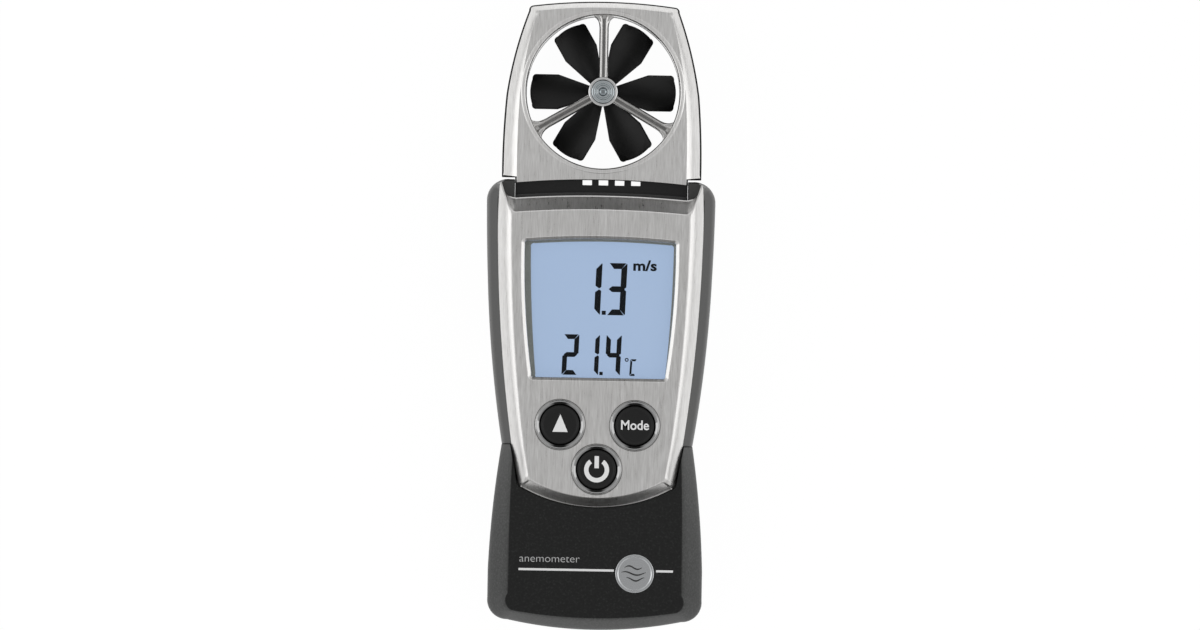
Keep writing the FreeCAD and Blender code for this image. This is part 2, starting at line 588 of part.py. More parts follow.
# the same hole with the softened front rim
rim = [(0, HB - 1), (D("duct_radius"), HB - 1), (D("duct_radius"), HF - 0.65), (D("duct_radius") + 0.65, HF),
       (D("duct_radius") + 0.65, HF + 1), (0, HF + 1), (0, HB - 1)]
FRONT_HOLE = Part.Face(Part.makePolygon([Vector(r, VY, z) for r, z in rim])).revolve(
    Vector(0, VY, 0), Vector(0, 0, 1), 360)
outer = stack([(HB, HEAD_BACK), (4.3, mix(HEAD, HEAD_BACK, 0.4)), (5.4, HEAD), (HP, HEAD)])
inner = prism(HEAD_ROOM, HB + HW, HP + 1)
shell = outer.cut(inner)
for x, y in HEAD_SCREWS:
    shell = shell.fuse(rod(x, y, HB + HW, HP, 1.75))
shell = shell.cut(DUCT_HOLE)
for x, y in HEAD_SCREWS:
    shell = shell.cut(rod(x, y, HB - 1, HB + 1.5, 1.55))
    shell = shell.cut(rod(x, y, HB, HP + 1, 0.8))
feature("head_rear_cover", shell.removeSplitter())

outer = stack([(HP, HEAD), (16.9, HEAD), (18.45, mix(HEAD, HEAD_FLAT, 0.52)), (HF, HEAD_FLAT)])
inner = prism(HEAD_ROOM, HP - 1, 16.6)
top_room = prism(HEAD_ROOM_TOP, HP - 1, HF - D("head_skin"))
inner = inner.fuse(top_room.cut(rod(0, VY, 16.6, HF, D("duct_outer"))))
shell = outer.cut(inner)
for x, y in HEAD_SCREWS:
    shell = shell.fuse(rod(x, y, HP, HF - D("head_skin") + 0.1, 1.75 if y < VY else 1.6))
shell = shell.cut(FRONT_HOLE)
for x, y in HEAD_SCREWS:
    shell = shell.cut(rod(x, y, HP - 1, 16.0, 0.7))
shell = shell.cut(box(-15.9, 26.0, HP - 1, -13.3, 30.0, 12.9))
feature("head_front_cover", shell.removeSplitter())

ARMS = [90, 210, 330]


def spider(tube0, tube1, arm0, arm1, boss0, boss1, boss_radius, groove):
    """Duct tube with three arms that carry the bearing boss."""
    reach = rod(0, VY, 0, tube1, D("duct_radius") + 0.6).fuse(rod(0, VY, 0, 25, D("duct_radius") - 0.05))
    ring = rod(0, VY, tube0, tube1, D("duct_outer")).cut(rod(0, VY, tube0 - 1, tube1 + 1, D("duct_radius")))
    body = ring.fuse(rod(0, VY, boss0, boss1, boss_radius))
    for angle in ARMS:
        arm = box(0.5, VY - D("spoke_width") / 2, arm0, D("duct_radius") + 0.6, VY + D("spoke_width") / 2, arm1)
        # flared root where the arm meets the duct wall
        flare = Part.Face(Part.makePolygon([Vector(14.1, VY - 0.8, arm0), Vector(15.2, VY - 1.25, arm0),
                                            Vector(16.1, VY - 2.3, arm0), Vector(16.1, VY + 2.3, arm0),
                                            Vector(15.2, VY + 1.25, arm0), Vector(14.1, VY + 0.8, arm0),
                                            Vector(14.1, VY - 0.8, arm0)])).extrude(Vector(0, 0, arm1 - arm0))
        arm = arm.fuse(flare)
        if groove:
            arm = arm.cut(box(boss_radius, VY - 0.22, arm1 - 0.55, 15.0, VY + 0.22, arm1 + 1))
        arm.rotate(Vector(0, VY, 0), Vector(0, 0, 1), angle)
        body = body.fuse(arm.common(reach))
    return body


front_duct = spider(HP + 0.1, 16.55, 15.2, 17.7, 15.2, 18.8, D("boss_radius"), True)
front_duct = front_duct.cut(rod(0, VY, 15.0, 17.4, D("bearing_radius")))
front_duct = front_duct.cut(rod(0, VY, 18.2, 19.0, 2.45))
feature("duct_front", front_duct.removeSplitter())
rear_duct = spider(HB + HW + 0.05, HP, 5.2, 6.4, 4.2, 6.7, 2.9, False)
rear_duct = rear_duct.cut(rod(0, VY, 4.8, 7.0, D("bearing_radius")))
feature("duct_rear", rear_duct.removeSplitter())

for label, level in (("bearing_front", 15.2), ("bearing_rear", 4.8)):
    node = new_body(label)
    sk = sketch(node, [], level, [(0, VY, "bearing_radius"), (0, VY, "bore_radius")])
    part_pad = node.newObject("PartDesign::Pad", label + "_pad")
    part_pad.Profile = sk
    part_pad.Length = 2.2 if label == "bearing_front" else 1.9
    doc.recompute()
cap_disc = doc.addObject("Part::Cone", "bearing_cap")
cap_disc.Radius1, cap_disc.Radius2, cap_disc.Height = 2.4, 2.15, 0.7
cap_disc.Placement = Placement(Vector(0, VY, 18.2), Rotation())
cap_disc.Label = "bearing_cap"
NODES.append(cap_disc)

feature("head_screws", Part.makeCompound([
    screw(x, y, HB + 0.1, 9.6, 0.7, 1.4, 1.2) for x, y in HEAD_SCREWS]))

# impeller: six flat blades twisted out of the plane of rotation on one hub
hub = rod(0, VY, D("hub_z"), D("hub_top_z"), D("hub_radius"))
hub = hub.makeChamfer(0.4, [e for e in hub.Edges if len(e.Vertexes) == 1])
half, tip = D("blade_half"), D("blade_tip")
for i in range(int(D("blade_count"))):
    plan = [((1.9, 1.05), None, (9.3, half)), ((9.3, half), None, (13.9, half)),
            ((13.9, half), (14.45, half - 0.3), (14.62, half - 0.95)),
            ((14.62, half - 0.95), (tip, 0.0), (14.62, -half + 0.95)),
            ((14.62, -half + 0.95), (14.45, -half + 0.3), (13.9, -half)),
            ((13.9, -half), None, (9.3, -half)), ((9.3, -half), None, (1.9, -1.05)),
            ((1.9, -1.05), None, (1.9, 1.05))]
    column = prism(plan, 0, 25)
    sheet_ = box(1.0, -7.0, -D("blade_thick") / 2, 16.0, 7.0, D("blade_thick") / 2)
    sheet_.rotate(Vector(0, 0, 0), Vector(1, 0, 0), D("blade_pitch"))
    sheet_.translate(Vector(0, 0, D("blade_mid_z")))
    blade = sheet_.common(column)
    blade.rotate(Vector(0, 0, 0), Vector(0, 0, 1), 60.0 * i)
    blade.translate(Vector(0, VY, 0))
    hub = hub.fuse(blade)
hub = hub.cut(rod(0, VY, D("hub_z") - 1, D("hub_top_z") + 1, D("axle_radius")))
feature("impeller", hub.removeSplitter())
axle = cylinder("impeller_axle", "Dimensions.axle_radius", "17.3 mm - 4.9 mm", (0, VY, 4.9))
axle.Label = "impeller_axle"
NODES.append(axle)

# ---------------------------------------------------------------- neck with four vent slots
NH = D("neck_half")
neck = sym((0, 28.07), [(NH, 27.18), (None, (NH, SADDLE + 0.02))], None)
block = prism(neck, D("neck_back_z"), D("neck_front_z"))
for i in range(4):
    x = D("vent_first_x") + i * D("vent_pitch")
    w2 = D("vent_width") / 2
    block = block.cut(box(x - w2, 28.0 - D("vent_depth"), 0, x + w2, 29, 25))
block = block.cut(box(-15.9, 20.0, 10.9, -13.3, 30.0, 12.9))
block = block.cut(Part.makeCylinder(0.9, 2.6, Vector(2.05, SADDLE, 12.0), Vector(0, 1, 0)))
feature("neck_frame", block.removeSplitter())
probe = cylinder("temperature_sensor", "0.8 mm", "2.4 mm", (0, 0, 0))
probe.Placement = Placement(Vector(2.05, SADDLE + 0.1, 12.0), Rotation(Vector(1, 0, 0), -90))
probe.Label = "temperature_sensor"
NODES.append(probe)

# speed pickup beside the duct, and the flat lead down through the neck to the board
pickup = box(-1.4, -1.8, 9.4, 1.4, 1.8, 13.6)
pickup.rotate(Vector(0, 0, 0), Vector(0, 0, 1), 45)
pickup.translate(Vector(-13.6, 32.6, 0))
feature("speed_sensor", pickup)
lead = [box(-15.2, 18.6, 11.4, -13.5, 30.3, 11.65), box(-15.2, 18.6, 11.4, -13.5, 18.85, 14.6)]
feature("sensor_flex", lead[0].fuse(lead[1]).removeSplitter())

# ---------------------------------------------------------------- base cap and its badge
cap_levels = [(0.0, cap_in(2.6)), (0.8, cap_in(1.25)), (2.4, cap_in(0.35)), (5.0, CAP), (16.6, CAP),
              (19.6, mix(CAP, CAP_FLAT, 0.5)), (D("cap_front_z"), CAP_FLAT)]
cap = stack(cap_levels)
hole = sym(None, [(D("cap_cavity_half"), -26.0), (None, (D("cap_cavity_half"), -59.6)),
                  ((17.5, -62.3), (14.8, D("cap_cavity_end")))], None)
cap = cap.cut(prism(hole, D("cap_cavity_back"), D("cap_cavity_step")))
cap = cap.cut(prism(inset(hole, D("stub_step_in")), D("cap_cavity_step") - 0.1, D("cap_cavity_front")))
cap = cap.cut(box(-16.8, WAIST - 3, D("cap_cavity_step") - 0.1, 16.8, -26.0, D("cap_cavity_front")))
cap = cap.cut(prism(inset(PLATE, -D("cap_face_gap")), D("cap_cavity_front") - 0.5, 30))
cap = cap.cut(rod(D("badge_x"), D("badge_y"), D("cap_front_z") - 0.35, 30, D("badge_radius") + 0.05))
feature("base_cap", cap.removeSplitter())
badge = doc.addObject("Part::Cylinder", "cap_badge")
badge.setExpression("Radius", "Dimensions.badge_radius")
badge.setExpression("Height", "Dimensions.badge_thick")
badge.Placement = Placement(Vector(D("badge_x"), D("badge_y"), D("cap_front_z") - 0.35), Rotation())
badge.Label = "cap_badge"
NODES.append(badge)

# ---------------------------------------------------------------- checks and export
doc.recompute()
problems = []
for obj in doc.Objects:
    if "Invalid" in obj.State or "Error" in obj.State:
        problems.append("%s %s" % (obj.Label, obj.State))
labels = [n.Label for n in NODES]
if len(set(labels)) != len(labels):
    problems.append("repeated label")
for node in NODES:
    shape = node.Shape
    if shape.isNull() or not shape.isValid() or not shape.Solids or shape.Volume <= 0:
        problems.append("bad shape " + node.Label)
if problems:
    raise RuntimeError("; ".join(problems))
os.makedirs("parts", exist_ok=True)
for node in NODES:
    node.Shape.exportStep("parts/%s.step" % node.Label)
    print("%-22s %2d solid(s) %10.2f mm3  z %6.2f..%6.2f" % (node.Label, len(node.Shape.Solids), node.Shape.Volume,
                                                        node.Shape.BoundBox.ZMin, node.Shape.BoundBox.ZMax))
total = NODES[0].Shape.BoundBox
for node in NODES[1:]:
    total.add(node.Shape.BoundBox)
print("nodes", len(NODES), "box", total)
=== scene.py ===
import bmesh
import bpy
import math
from mathutils import Matrix, Vector


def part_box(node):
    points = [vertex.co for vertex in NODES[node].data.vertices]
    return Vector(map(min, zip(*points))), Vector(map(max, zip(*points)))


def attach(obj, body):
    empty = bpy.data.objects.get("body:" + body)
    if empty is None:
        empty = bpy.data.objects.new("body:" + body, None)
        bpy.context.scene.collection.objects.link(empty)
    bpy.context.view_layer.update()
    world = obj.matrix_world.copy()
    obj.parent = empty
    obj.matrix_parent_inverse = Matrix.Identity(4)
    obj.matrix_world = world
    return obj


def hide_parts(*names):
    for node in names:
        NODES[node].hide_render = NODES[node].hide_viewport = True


# Handheld vane anemometer. The same frame as the CAD model, in metres:
# +X right, +Y towards the vane head, +Z out of the display face.

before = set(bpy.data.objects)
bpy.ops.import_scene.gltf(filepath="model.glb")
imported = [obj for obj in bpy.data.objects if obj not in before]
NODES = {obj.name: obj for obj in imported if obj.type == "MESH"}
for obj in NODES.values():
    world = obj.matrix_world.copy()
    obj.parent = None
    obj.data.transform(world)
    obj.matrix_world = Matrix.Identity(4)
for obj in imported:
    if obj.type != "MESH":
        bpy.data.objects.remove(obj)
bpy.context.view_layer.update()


MM = 0.001


# ------------------------------------------------------------------ outlines, in millimetres

def sym(top_mid, right, bottom_mid):
    pts = [right[0]] + [q for _, q in right[1:]]
    mids = [m for m, _ in right[1:]]
    segs = [((-pts[0][0], pts[0][1]), top_mid, pts[0])]
    for i, m in enumerate(mids):
        segs.append((pts[i], m, pts[i + 1]))
    segs.append((pts[-1], bottom_mid, (-pts[-1][0], pts[-1][1])))
    for i in reversed(range(len(mids))):
        m = mids[i]
        segs.append(((-pts[i + 1][0], pts[i + 1][1]), None if m is None else (-m[0], m[1]),
                     (-pts[i][0], pts[i][1])))
    return segs


def centre(p, m, q):
    ax, ay, bx, by, cx, cy = p[0], p[1], m[0], m[1], q[0], q[1]
    d = 2 * (ax * (by - cy) + bx * (cy - ay) + cx * (ay - by))
    if abs(d) < 1e-7:
        return None
    ux = ((ax * ax + ay * ay) * (by - cy) + (bx * bx + by * by) * (cy - ay) + (cx * cx + cy * cy) * (ay - by)) / d
    uy = ((ax * ax + ay * ay) * (cx - bx) + (bx * bx + by * by) * (ax - cx) + (cx * cx + cy * cy) * (bx - ax)) / d
    return ux, uy


def seg_points(seg, count):
    """count points along a segment, without its end."""
    p, m, q = seg
    c = None if m is None else centre(p, m, q)
    out = []
    if c is None:
        for i in range(count):
            f = i / count
            out.append((p[0] + (q[0] - p[0]) * f, p[1] + (q[1] - p[1]) * f))
        return out
    r = math.hypot(p[0] - c[0], p[1] - c[1])
    a0 = math.atan2(p[1] - c[1], p[0] - c[0])
    a1 = math.atan2(q[1] - c[1], q[0] - c[0])
    turn = (m[0] - p[0]) * (q[1] - m[1]) - (m[1] - p[1]) * (q[0] - m[0])
    if turn > 0:
        while a1 < a0:
            a1 += 2 * math.pi
    else:
        while a1 > a0:
            a1 -= 2 * math.pi
    for i in range(count):
        a = a0 + (a1 - a0) * i / count
        out.append((c[0] + r * math.cos(a), c[1] + r * math.sin(a)))
    return out


def counts_for(segs, step=0.9):
    out = []
    for p, m, q in segs:
        length = math.hypot(q[0] - p[0], q[1] - p[1])
        if m is not None:
            length = math.hypot(m[0] - p[0], m[1] - p[1]) + math.hypot(q[0] - m[0], q[1] - m[1])
            bend = abs(math.hypot(m[0] - (p[0] + q[0]) / 2, m[1] - (p[1] + q[1]) / 2)) / max(length, 0.01)
            need = 6 if bend > 0.08 else 3
            if length < 8 and bend > 0.08:
                need = 12
        else:
            need = 1
        out.append(max(need, int(round(length / step))))
    return out


def points(segs, counts):
    out = []
    for seg, n in zip(segs, counts):
        out += seg_points(seg, n)
    return out


def normals2(pts):
    """Inward normals of a clockwise closed polyline."""
    out = []
    n = len(pts)
    for i in range(n):
        a, b = pts[i - 1], pts[(i + 1) % n]
        dx, dy = b[0] - a[0], b[1] - a[1]
        k = math.hypot(dx, dy) or 1.0
        out.append((dy / k, -dx / k))
    return out


def shrink(pts, d):
    return [(p[0] + n[0] * d, p[1] + n[1] * d) for p, n in zip(pts, normals2(pts))]


def blend2(a, b, f):
    return [(p[0] + (q[0] - p[0]) * f, p[1] + (q[1] - p[1]) * f) for p, q in zip(a, b)]


def soften(path, radii, steps=6):
    """Rounds the corners of an open polyline of (across, height)."""
    out = [path[0]]
    for i in range(1, len(path) - 1):
        a, b, c = path[i - 1], path[i], path[i + 1]
        r = radii[i - 1]
        u = (a[0] - b[0], a[1] - b[1])
        v = (c[0] - b[0], c[1] - b[1])
        lu, lv = math.hypot(*u), math.hypot(*v)
        k = min(r, lu * 0.49, lv * 0.49)
        if k < 1e-4:
            out.append(b)
            continue
        p0 = (b[0] + u[0] / lu * k, b[1] + u[1] / lu * k)
        p2 = (b[0] + v[0] / lv * k, b[1] + v[1] / lv * k)
        for j in range(steps + 1):
            f = j / steps
            w0, w1, w2 = (1 - f) ** 2, 2 * f * (1 - f), f * f
            out.append((w0 * p0[0] + w1 * b[0] + w2 * p2[0], w0 * p0[1] + w1 * b[1] + w2 * p2[1]))
    out.append(path[-1])
    return out


SADDLE, WAIST = 23.9, -26.75
BODY = sym(None, [(18.0, SADDLE), (None, (18.0, 27.9)), (None, (18.7, 27.9)),
                  ((22.45, 26.55), (23.65, 23.3)), ((23.5, 15.6), (23.2, 7.4)),
                  ((22.02, -9.6), (19.73, WAIST))], None)
PLATE = sym((0, 24.7), [(17.5, 24.0), ((19.75, 25.0), (20.6, 27.25)), (None, (20.95, 27.15)),
                        ((21.2, 20.4), (21.1, 13.6)), ((19.98, -6.75), (17.6, -27.1)),
                        (None, (16.2, -34.6)), ((16.0, -35.25), (15.4, -35.65))], (0, -39.5))
FLAT = sym((0, 21.65), [(17.3, 20.9), ((17.95, 20.7), (18.3, 20.1)), (None, (18.33, 19.8)),
                        ((18.36, 17.0), (18.25, 13.6)), ((17.3, -6.75), (15.1, -27.1)),
                        (None, (14.1, -32.9)), ((13.9, -33.6), (13.3, -34.05))], (0, -37.5))
DISPLAY = sym((0, 16.6), [(14.9, 15.95), ((16.05, 15.6), (16.4, 14.5)), ((16.0, 0.4), (14.65, -12.2)),
                          ((14.3, -13.3), (13.2, -13.7))], None)
HEAD = sym((0, 65.0), [(14.8, 64.0), ((15.32, 63.72), (15.6, 62.9)), ((18.0, 55.4), (20.0, 45.5)),
                       ((20.5, 38.0), (20.65, 28.4)), (None, (17.9, 28.4)), (None, (17.9, 27.2))], (0, 28.1))
HEAD_FLAT = sym((0, 63.55), [(13.3, 62.7), ((13.75, 62.5), (14.0, 61.9)), ((15.75, 54.9), (17.2, 45.5)),
                             ((17.5, 38.0), (17.55, 28.4)), (None, (17.5, 28.4)), (None, (17.5, 27.22))], (0, 28.1))
CAP = sym(None, [(19.73, -26.9), ((21.2, -38.4), (22.16, -52.7)), (None, (22.16, -58.6)),
                 ((21.0, -61.9), (18.0, -63.1))], (0, -65.0))
CAP_FLAT = sym(None, [(17.5, -26.9), ((17.95, -38.4), (18.15, -52.7)), (None, (18.2, -57.6)),
                      ((18.0, -60.55), (17.0, -61.2))], (0, -62.6))
VY = 46.2
KEYS = {"up": (-7.7, -22.6), "mode": (7.7, -22.6), "power": (0.0, -31.7)}


# ------------------------------------------------------------------ mesh helpers

def new_object(name, bm, mat=None, angle=32, weighted=True):
    bmesh.ops.remove_doubles(bm, verts=bm.verts, dist=1e-7)
    bmesh.ops.recalc_face_normals(bm, faces=bm.faces)
    limit = math.radians(angle)
    for e in bm.edges:
        if len(e.link_faces) == 2:
            e.smooth = e.calc_face_angle(3.2) < limit
        else:
            e.smooth = False
    for f in bm.faces:
        f.smooth = True
    me = bpy.data.meshes.new(name)
    bm.to_mesh(me)
    bm.free()
    ob = bpy.data.objects.new(name, me)
    bpy.context.scene.collection.objects.link(ob)
    if mat:
        me.materials.append(mat)
    if weighted:
        mod = ob.modifiers.new("weighted", "WEIGHTED_NORMAL")
        mod.keep_sharp = True
        mod.weight = 80
        mod.mode = "FACE_AREA"
    return ob


def ring(bm, pts, z):
    return [bm.verts.new((x * MM, y * MM, z * MM)) for x, y in pts]


def strip(bm, a, b):
    n = len(a)
    for i in range(n):
        j = (i + 1) % n
        if a[i] is b[i] and a[j] is b[j]:
            continue
        bm.faces.new([a[i], a[j], b[j], b[i]])


def cap_fill(bm, loops):
    """A flat face across closed loops; the first is the outside and the rest are holes."""
    edges = []
    for loop in loops:
        n = len(loop)
        for i in range(n):
            u, v = loop[i], loop[(i + 1) % n]
            e = bm.edges.get((u, v)) or bm.edges.new((u, v))
            edges.append(e)
    if len(loops) == 1:
        try:
            bm.faces.new(loops[0])
            return
        except ValueError:
            pass
    bmesh.ops.triangle_fill(bm, use_beauty=True, use_dissolve=False, edges=edges)


def slab(name, levels, holes=(), mat=None, angle=32):
    """Closed form through rising (points, z) levels, with holes that run from the top down."""
    bm = bmesh.new()
    rings = [ring(bm, p, z) for p, z in levels]
    for a, b in zip(rings[:-1], rings[1:]):
        strip(bm, a, b)
    tops, lows = [rings[-1]], [rings[0]]
    for hole in holes:
        hr = [ring(bm, p, z) for p, z in hole]
        for a, b in zip(hr[:-1], hr[1:]):
            strip(bm, a, b)
        tops.append(hr[0])
        lows.append(hr[-1])
    cap_fill(bm, tops)
    cap_fill(bm, lows)
    return new_object(name, bm, mat, angle)


def circle(x, y, r, n=64):
    return [(x + r * math.cos(-2 * math.pi * i / n), y + r * math.sin(-2 * math.pi * i / n)) for i in range(n)]


def lathe(name, profile, x, y, mat=None, n=72, closed=True, angle=32):
    """Turned form from a closed (radius, height) profile, in millimetres."""
    bm = bmesh.new()
    loops = []
    for r, z in profile:
        if r < 1e-6:
            v = bm.verts.new((x * MM, y * MM, z * MM))
            loops.append([v] * n)
        else:
            loops.append(ring(bm, circle(x, y, r, n), z))
    pairs = list(zip(loops, loops[1:] + ([loops[0]] if closed else [])))
    for a, b in pairs:
        for i in range(n):
            j = (i + 1) % n
            quad = []
            for v in (a[i], a[j], b[j], b[i]):
                if v not in quad:
                    quad.append(v)
            if len(quad) >= 3:
                try:
                    bm.faces.new(quad)
                except ValueError:
                    pass
    return new_object(name, bm, mat, angle)


def polygon_prism(bm, pts, z0, z1):
    a, b = ring(bm, pts, z0), ring(bm, pts, z1)
    strip(bm, a, b)
    bm.faces.new(a)
    bm.faces.new(b)


def apply_mods(ob):
    dg = bpy.context.evaluated_depsgraph_get()
    me = bpy.data.meshes.new_from_object(ob.evaluated_get(dg))
    old = ob.data
    name = old.name
    ob.modifiers.clear()
    ob.data = me
    bpy.data.meshes.remove(old)
    me.name = name
    return ob


def cut(ob, tool, solver="EXACT", op="DIFFERENCE"):
    mod = ob.modifiers.new("cut", "BOOLEAN")
    mod.operation = op
    mod.object = tool
    mod.solver = solver
    apply_mods(ob)
    bpy.data.objects.remove(tool)
    return ob


def reshade(ob, angle=32, bevel=0.0, segments=2, weighted=True):
    """Cleans a boolean result, softens its edges and sets crisp and smooth edges by angle."""
    bm = bmesh.new()
    bm.from_mesh(ob.data)
    bmesh.ops.remove_doubles(bm, verts=bm.verts, dist=2e-6)
    bmesh.ops.dissolve_degenerate(bm, dist=1e-6, edges=bm.edges)
    bmesh.ops.recalc_face_normals(bm, faces=bm.faces)
    limit = math.radians(angle)
    for e in bm.edges:
        e.smooth = len(e.link_faces) == 2 and e.calc_face_angle(3.2) < limit
    for f in bm.faces:
        f.smooth = True
    bm.to_mesh(ob.data)
    bm.free()
    if bevel:
        mod = ob.modifiers.new("soft", "BEVEL")
        mod.width = bevel * MM
        mod.segments = segments
        mod.limit_method = "ANGLE"
        mod.angle_limit = math.radians(38)
        mod.harden_normals = False
        mod.miter_outer = "MITER_ARC"
    if weighted:
        mod = ob.modifiers.new("weighted", "WEIGHTED_NORMAL")
        mod.keep_sharp = True
        mod.weight = 80
    return ob


def put(ob, body, node=None):
    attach(ob, body)
    if node:
        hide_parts(*([node] if isinstance(node, str) else node))
    return ob


# ------------------------------------------------------------------ materials

class Mat:
    """Small builder for node materials in Object coordinates, which are the row frame in metres."""

    def __init__(self, name):
        self.mat = bpy.data.materials.new(name)
        self.mat.use_nodes = True
        self.nt = self.mat.node_tree
        self.nt.nodes.clear()
        self.out = self.nt.nodes.new("ShaderNodeOutputMaterial")
        self.bsdf = self.nt.nodes.new("ShaderNodeBsdfPrincipled")
        self.nt.links.new(self.bsdf.outputs[0], self.out.inputs[0])
        self.coord = self.nt.nodes.new("ShaderNodeTexCoord")

    def link(self, a, b):
        self.nt.links.new(a, b)

    def set(self, **kw):
        for key, value in kw.items():
            self.bsdf.inputs[key.replace("_", " ")].default_value = value
        return self

    def mapped(self, scale, rot=(0, 0, 0)):
        m = self.nt.nodes.new("ShaderNodeMapping")
        m.inputs["Scale"].default_value = scale
        m.inputs["Rotation"].default_value = rot
        self.link(self.coord.outputs["Object"], m.inputs["Vector"])
        return m.outputs[0]

    def noise(self, vector, scale=1.0, detail=2.0, rough=0.5, dist=0.0):
        n = self.nt.nodes.new("ShaderNodeTexNoise")
        n.inputs["Scale"].default_value = scale
        n.inputs["Detail"].default_value = detail
        n.inputs["Roughness"].default_value = rough
        n.inputs["Distortion"].default_value = dist
        self.link(vector, n.inputs["Vector"])
        return n.outputs["Fac"]

    def voronoi(self, vector, scale=1.0):
        n = self.nt.nodes.new("ShaderNodeTexVoronoi")
        n.inputs["Scale"].default_value = scale
        self.link(vector, n.inputs["Vector"])
        return n.outputs["Distance"]

    def spread(self, value, lo, hi, a=0.3, b=0.7):
        n = self.nt.nodes.new("ShaderNodeMapRange")
        n.inputs["From Min"].default_value = a
        n.inputs["From Max"].default_value = b
        n.inputs["To Min"].default_value = lo
        n.inputs["To Max"].default_value = hi
        self.link(value, n.inputs["Value"])
        return n.outputs[0]

    def ramp(self, value, stops):
        n = self.nt.nodes.new("ShaderNodeValToRGB")
        el = n.color_ramp.elements
        while len(el) > 1:
            el.remove(el[-1])
        el[0].position, el[0].color = stops[0][0], tuple(stops[0][1]) + (1,)
        for pos, col in stops[1:]:
            e = el.new(pos)
            e.color = tuple(col) + (1,)
        self.link(value, n.inputs["Fac"])
        return n.outputs[0]

    def math(self, op, a, b):
        n = self.nt.nodes.new("ShaderNodeMath")
        n.operation = op
        for i, v in enumerate((a, b)):
            if isinstance(v, (int, float)):
                n.inputs[i].default_value = v
            else:
                self.link(v, n.inputs[i])
        return n.outputs[0]

    def base(self, value):
        self.link(value, self.bsdf.inputs["Base Color"])
        return self

    def rough(self, value):
        self.link(value, self.bsdf.inputs["Roughness"])
        return self

    def bump(self, value, distance, strength=0.5):
        n = self.nt.nodes.new("ShaderNodeBump")
        n.inputs["Distance"].default_value = distance
        n.inputs["Strength"].default_value = strength
        self.link(value, n.inputs["Height"])
        self.link(n.outputs[0], self.bsdf.inputs["Normal"])
        return self


def grey(v):
    return (v, v, v)


def brushed(name, low, high, rough=(0.26, 0.36), warm=1.0, aniso=0.55, along=(5600, 330, 900), broad=(1500, 70, 300)):
    m = Mat(name).set(Metallic=1.0)
    fine = m.noise(m.mapped(along), 1.0, 3.0, 0.62)
    wide = m.noise(m.mapped(broad), 1.0, 2.0, 0.5)
    both = m.math("ADD", m.math("MULTIPLY", fine, 0.72), m.math("MULTIPLY", wide, 0.28))
    lo = (low, low * 0.985, low * (0.965 if warm else 1))
    hi = (high, high * 0.992, high * (0.98 if warm else 1))
    m.base(m.ramp(both, [(0.30, lo), (0.70, hi)]))
    m.rough(m.spread(both, rough[0], rough[1], 0.3, 0.7))
    m.bump(fine, 0.00002, 0.14)
    m.bsdf.inputs["Anisotropic"].default_value = aniso
    tan = m.nt.nodes.new("ShaderNodeTangent")
    tan.direction_type = "RADIAL"
    tan.axis = "Y"
    m.link(tan.outputs[0], m.bsdf.inputs["Tangent"])
    return m.mat


def moulded(name, low, high, rough=(0.42, 0.5), grain=2600, tint=(1, 1, 1), bump=0.00003, strength=0.35, coat=0.0,
            specular=0.5):
    m = Mat(name)
    n1 = m.noise(m.mapped((grain, grain, grain)), 1.0, 2.0, 0.6)
    n2 = m.noise(m.mapped((90, 90, 90)), 1.0, 2.0, 0.5)
    mixv = m.math("ADD", m.math("MULTIPLY", n1, 0.7), m.math("MULTIPLY", n2, 0.3))
    m.base(m.ramp(mixv, [(0.32, [low * t for t in tint]), (0.68, [high * t for t in tint])]))
    m.rough(m.spread(n1, rough[0], rough[1], 0.3, 0.7))
    m.bump(n1, bump, strength)
    m.bsdf.inputs["Specular IOR Level"].default_value = specular
    if coat:
        m.bsdf.inputs["Coat Weight"].default_value = coat
        m.bsdf.inputs["Coat Roughness"].default_value = 0.15
    return m.mat


def speckled(name):
    """Near-black grained plastic with pale pinpoint flecks; faces tilted away from +Z get a lighter base, a painted
    sheen.
    """
    m = Mat(name)
    grain = m.noise(m.mapped((3800, 3800, 3800)), 1.0, 1.5, 0.55)
    fleck = m.noise(m.mapped((2300, 2300, 2300)), 1.0, 0.0, 0.5)
    slow = m.noise(m.mapped((60, 60, 60)), 1.0, 2.0, 0.5)
    mixv = m.math("ADD", m.math("MULTIPLY", grain, 0.55), m.math("MULTIPLY", fleck, 0.45))
    face = m.ramp(mixv, [(0.34, (0.0026, 0.0027, 0.0025)), (0.55, (0.0052, 0.0055, 0.0052)), (0.74, (0.020, 0.022, 0.021))])
    # side: a lighter copy of the same plastic for the bevels, painted sheen
    side = m.ramp(mixv, [(0.34, (0.046, 0.047, 0.046)), (0.55, (0.062, 0.063, 0.062)), (0.74, (0.088, 0.090, 0.088))])
    sep = m.nt.nodes.new("ShaderNodeSeparateXYZ")
    m.link(m.coord.outputs["Normal"], sep.inputs[0])
    # the more a face tilts away from +Z, the more painted sheen it gets
    painted_sheen_tilt = m.spread(sep.outputs[2], 0.0, 1.0, 0.78, 0.97)
    sheen_mixer = m.nt.nodes.new("ShaderNodeMix")
    sheen_mixer.data_type = "RGBA"
    m.link(painted_sheen_tilt, sheen_mixer.inputs[0])
    m.link(side, sheen_mixer.inputs[6])
    m.link(face, sheen_mixer.inputs[7])
    m.base(sheen_mixer.outputs[2])
    m.rough(m.spread(m.math("ADD", m.math("MULTIPLY", grain, 0.7), m.math("MULTIPLY", slow, 0.3)), 0.40, 0.52))
    m.bump(grain, 0.00003, 0.3)
    m.bsdf.inputs["Specular IOR Level"].default_value = 0.33
    return m.mat


def polished(name, tone, rough, tint=(1, 1, 1)):
    m = Mat(name).set(Metallic=1.0)
    n = m.noise(m.mapped((700, 700, 700)), 1.0, 2.0, 0.5)
    m.base(m.ramp(n, [(0.3, [tone * 0.94 * t for t in tint]), (0.7, [tone * t for t in tint])]))
    m.rough(m.spread(n, rough * 0.8, rough * 1.25))
    return m.mat


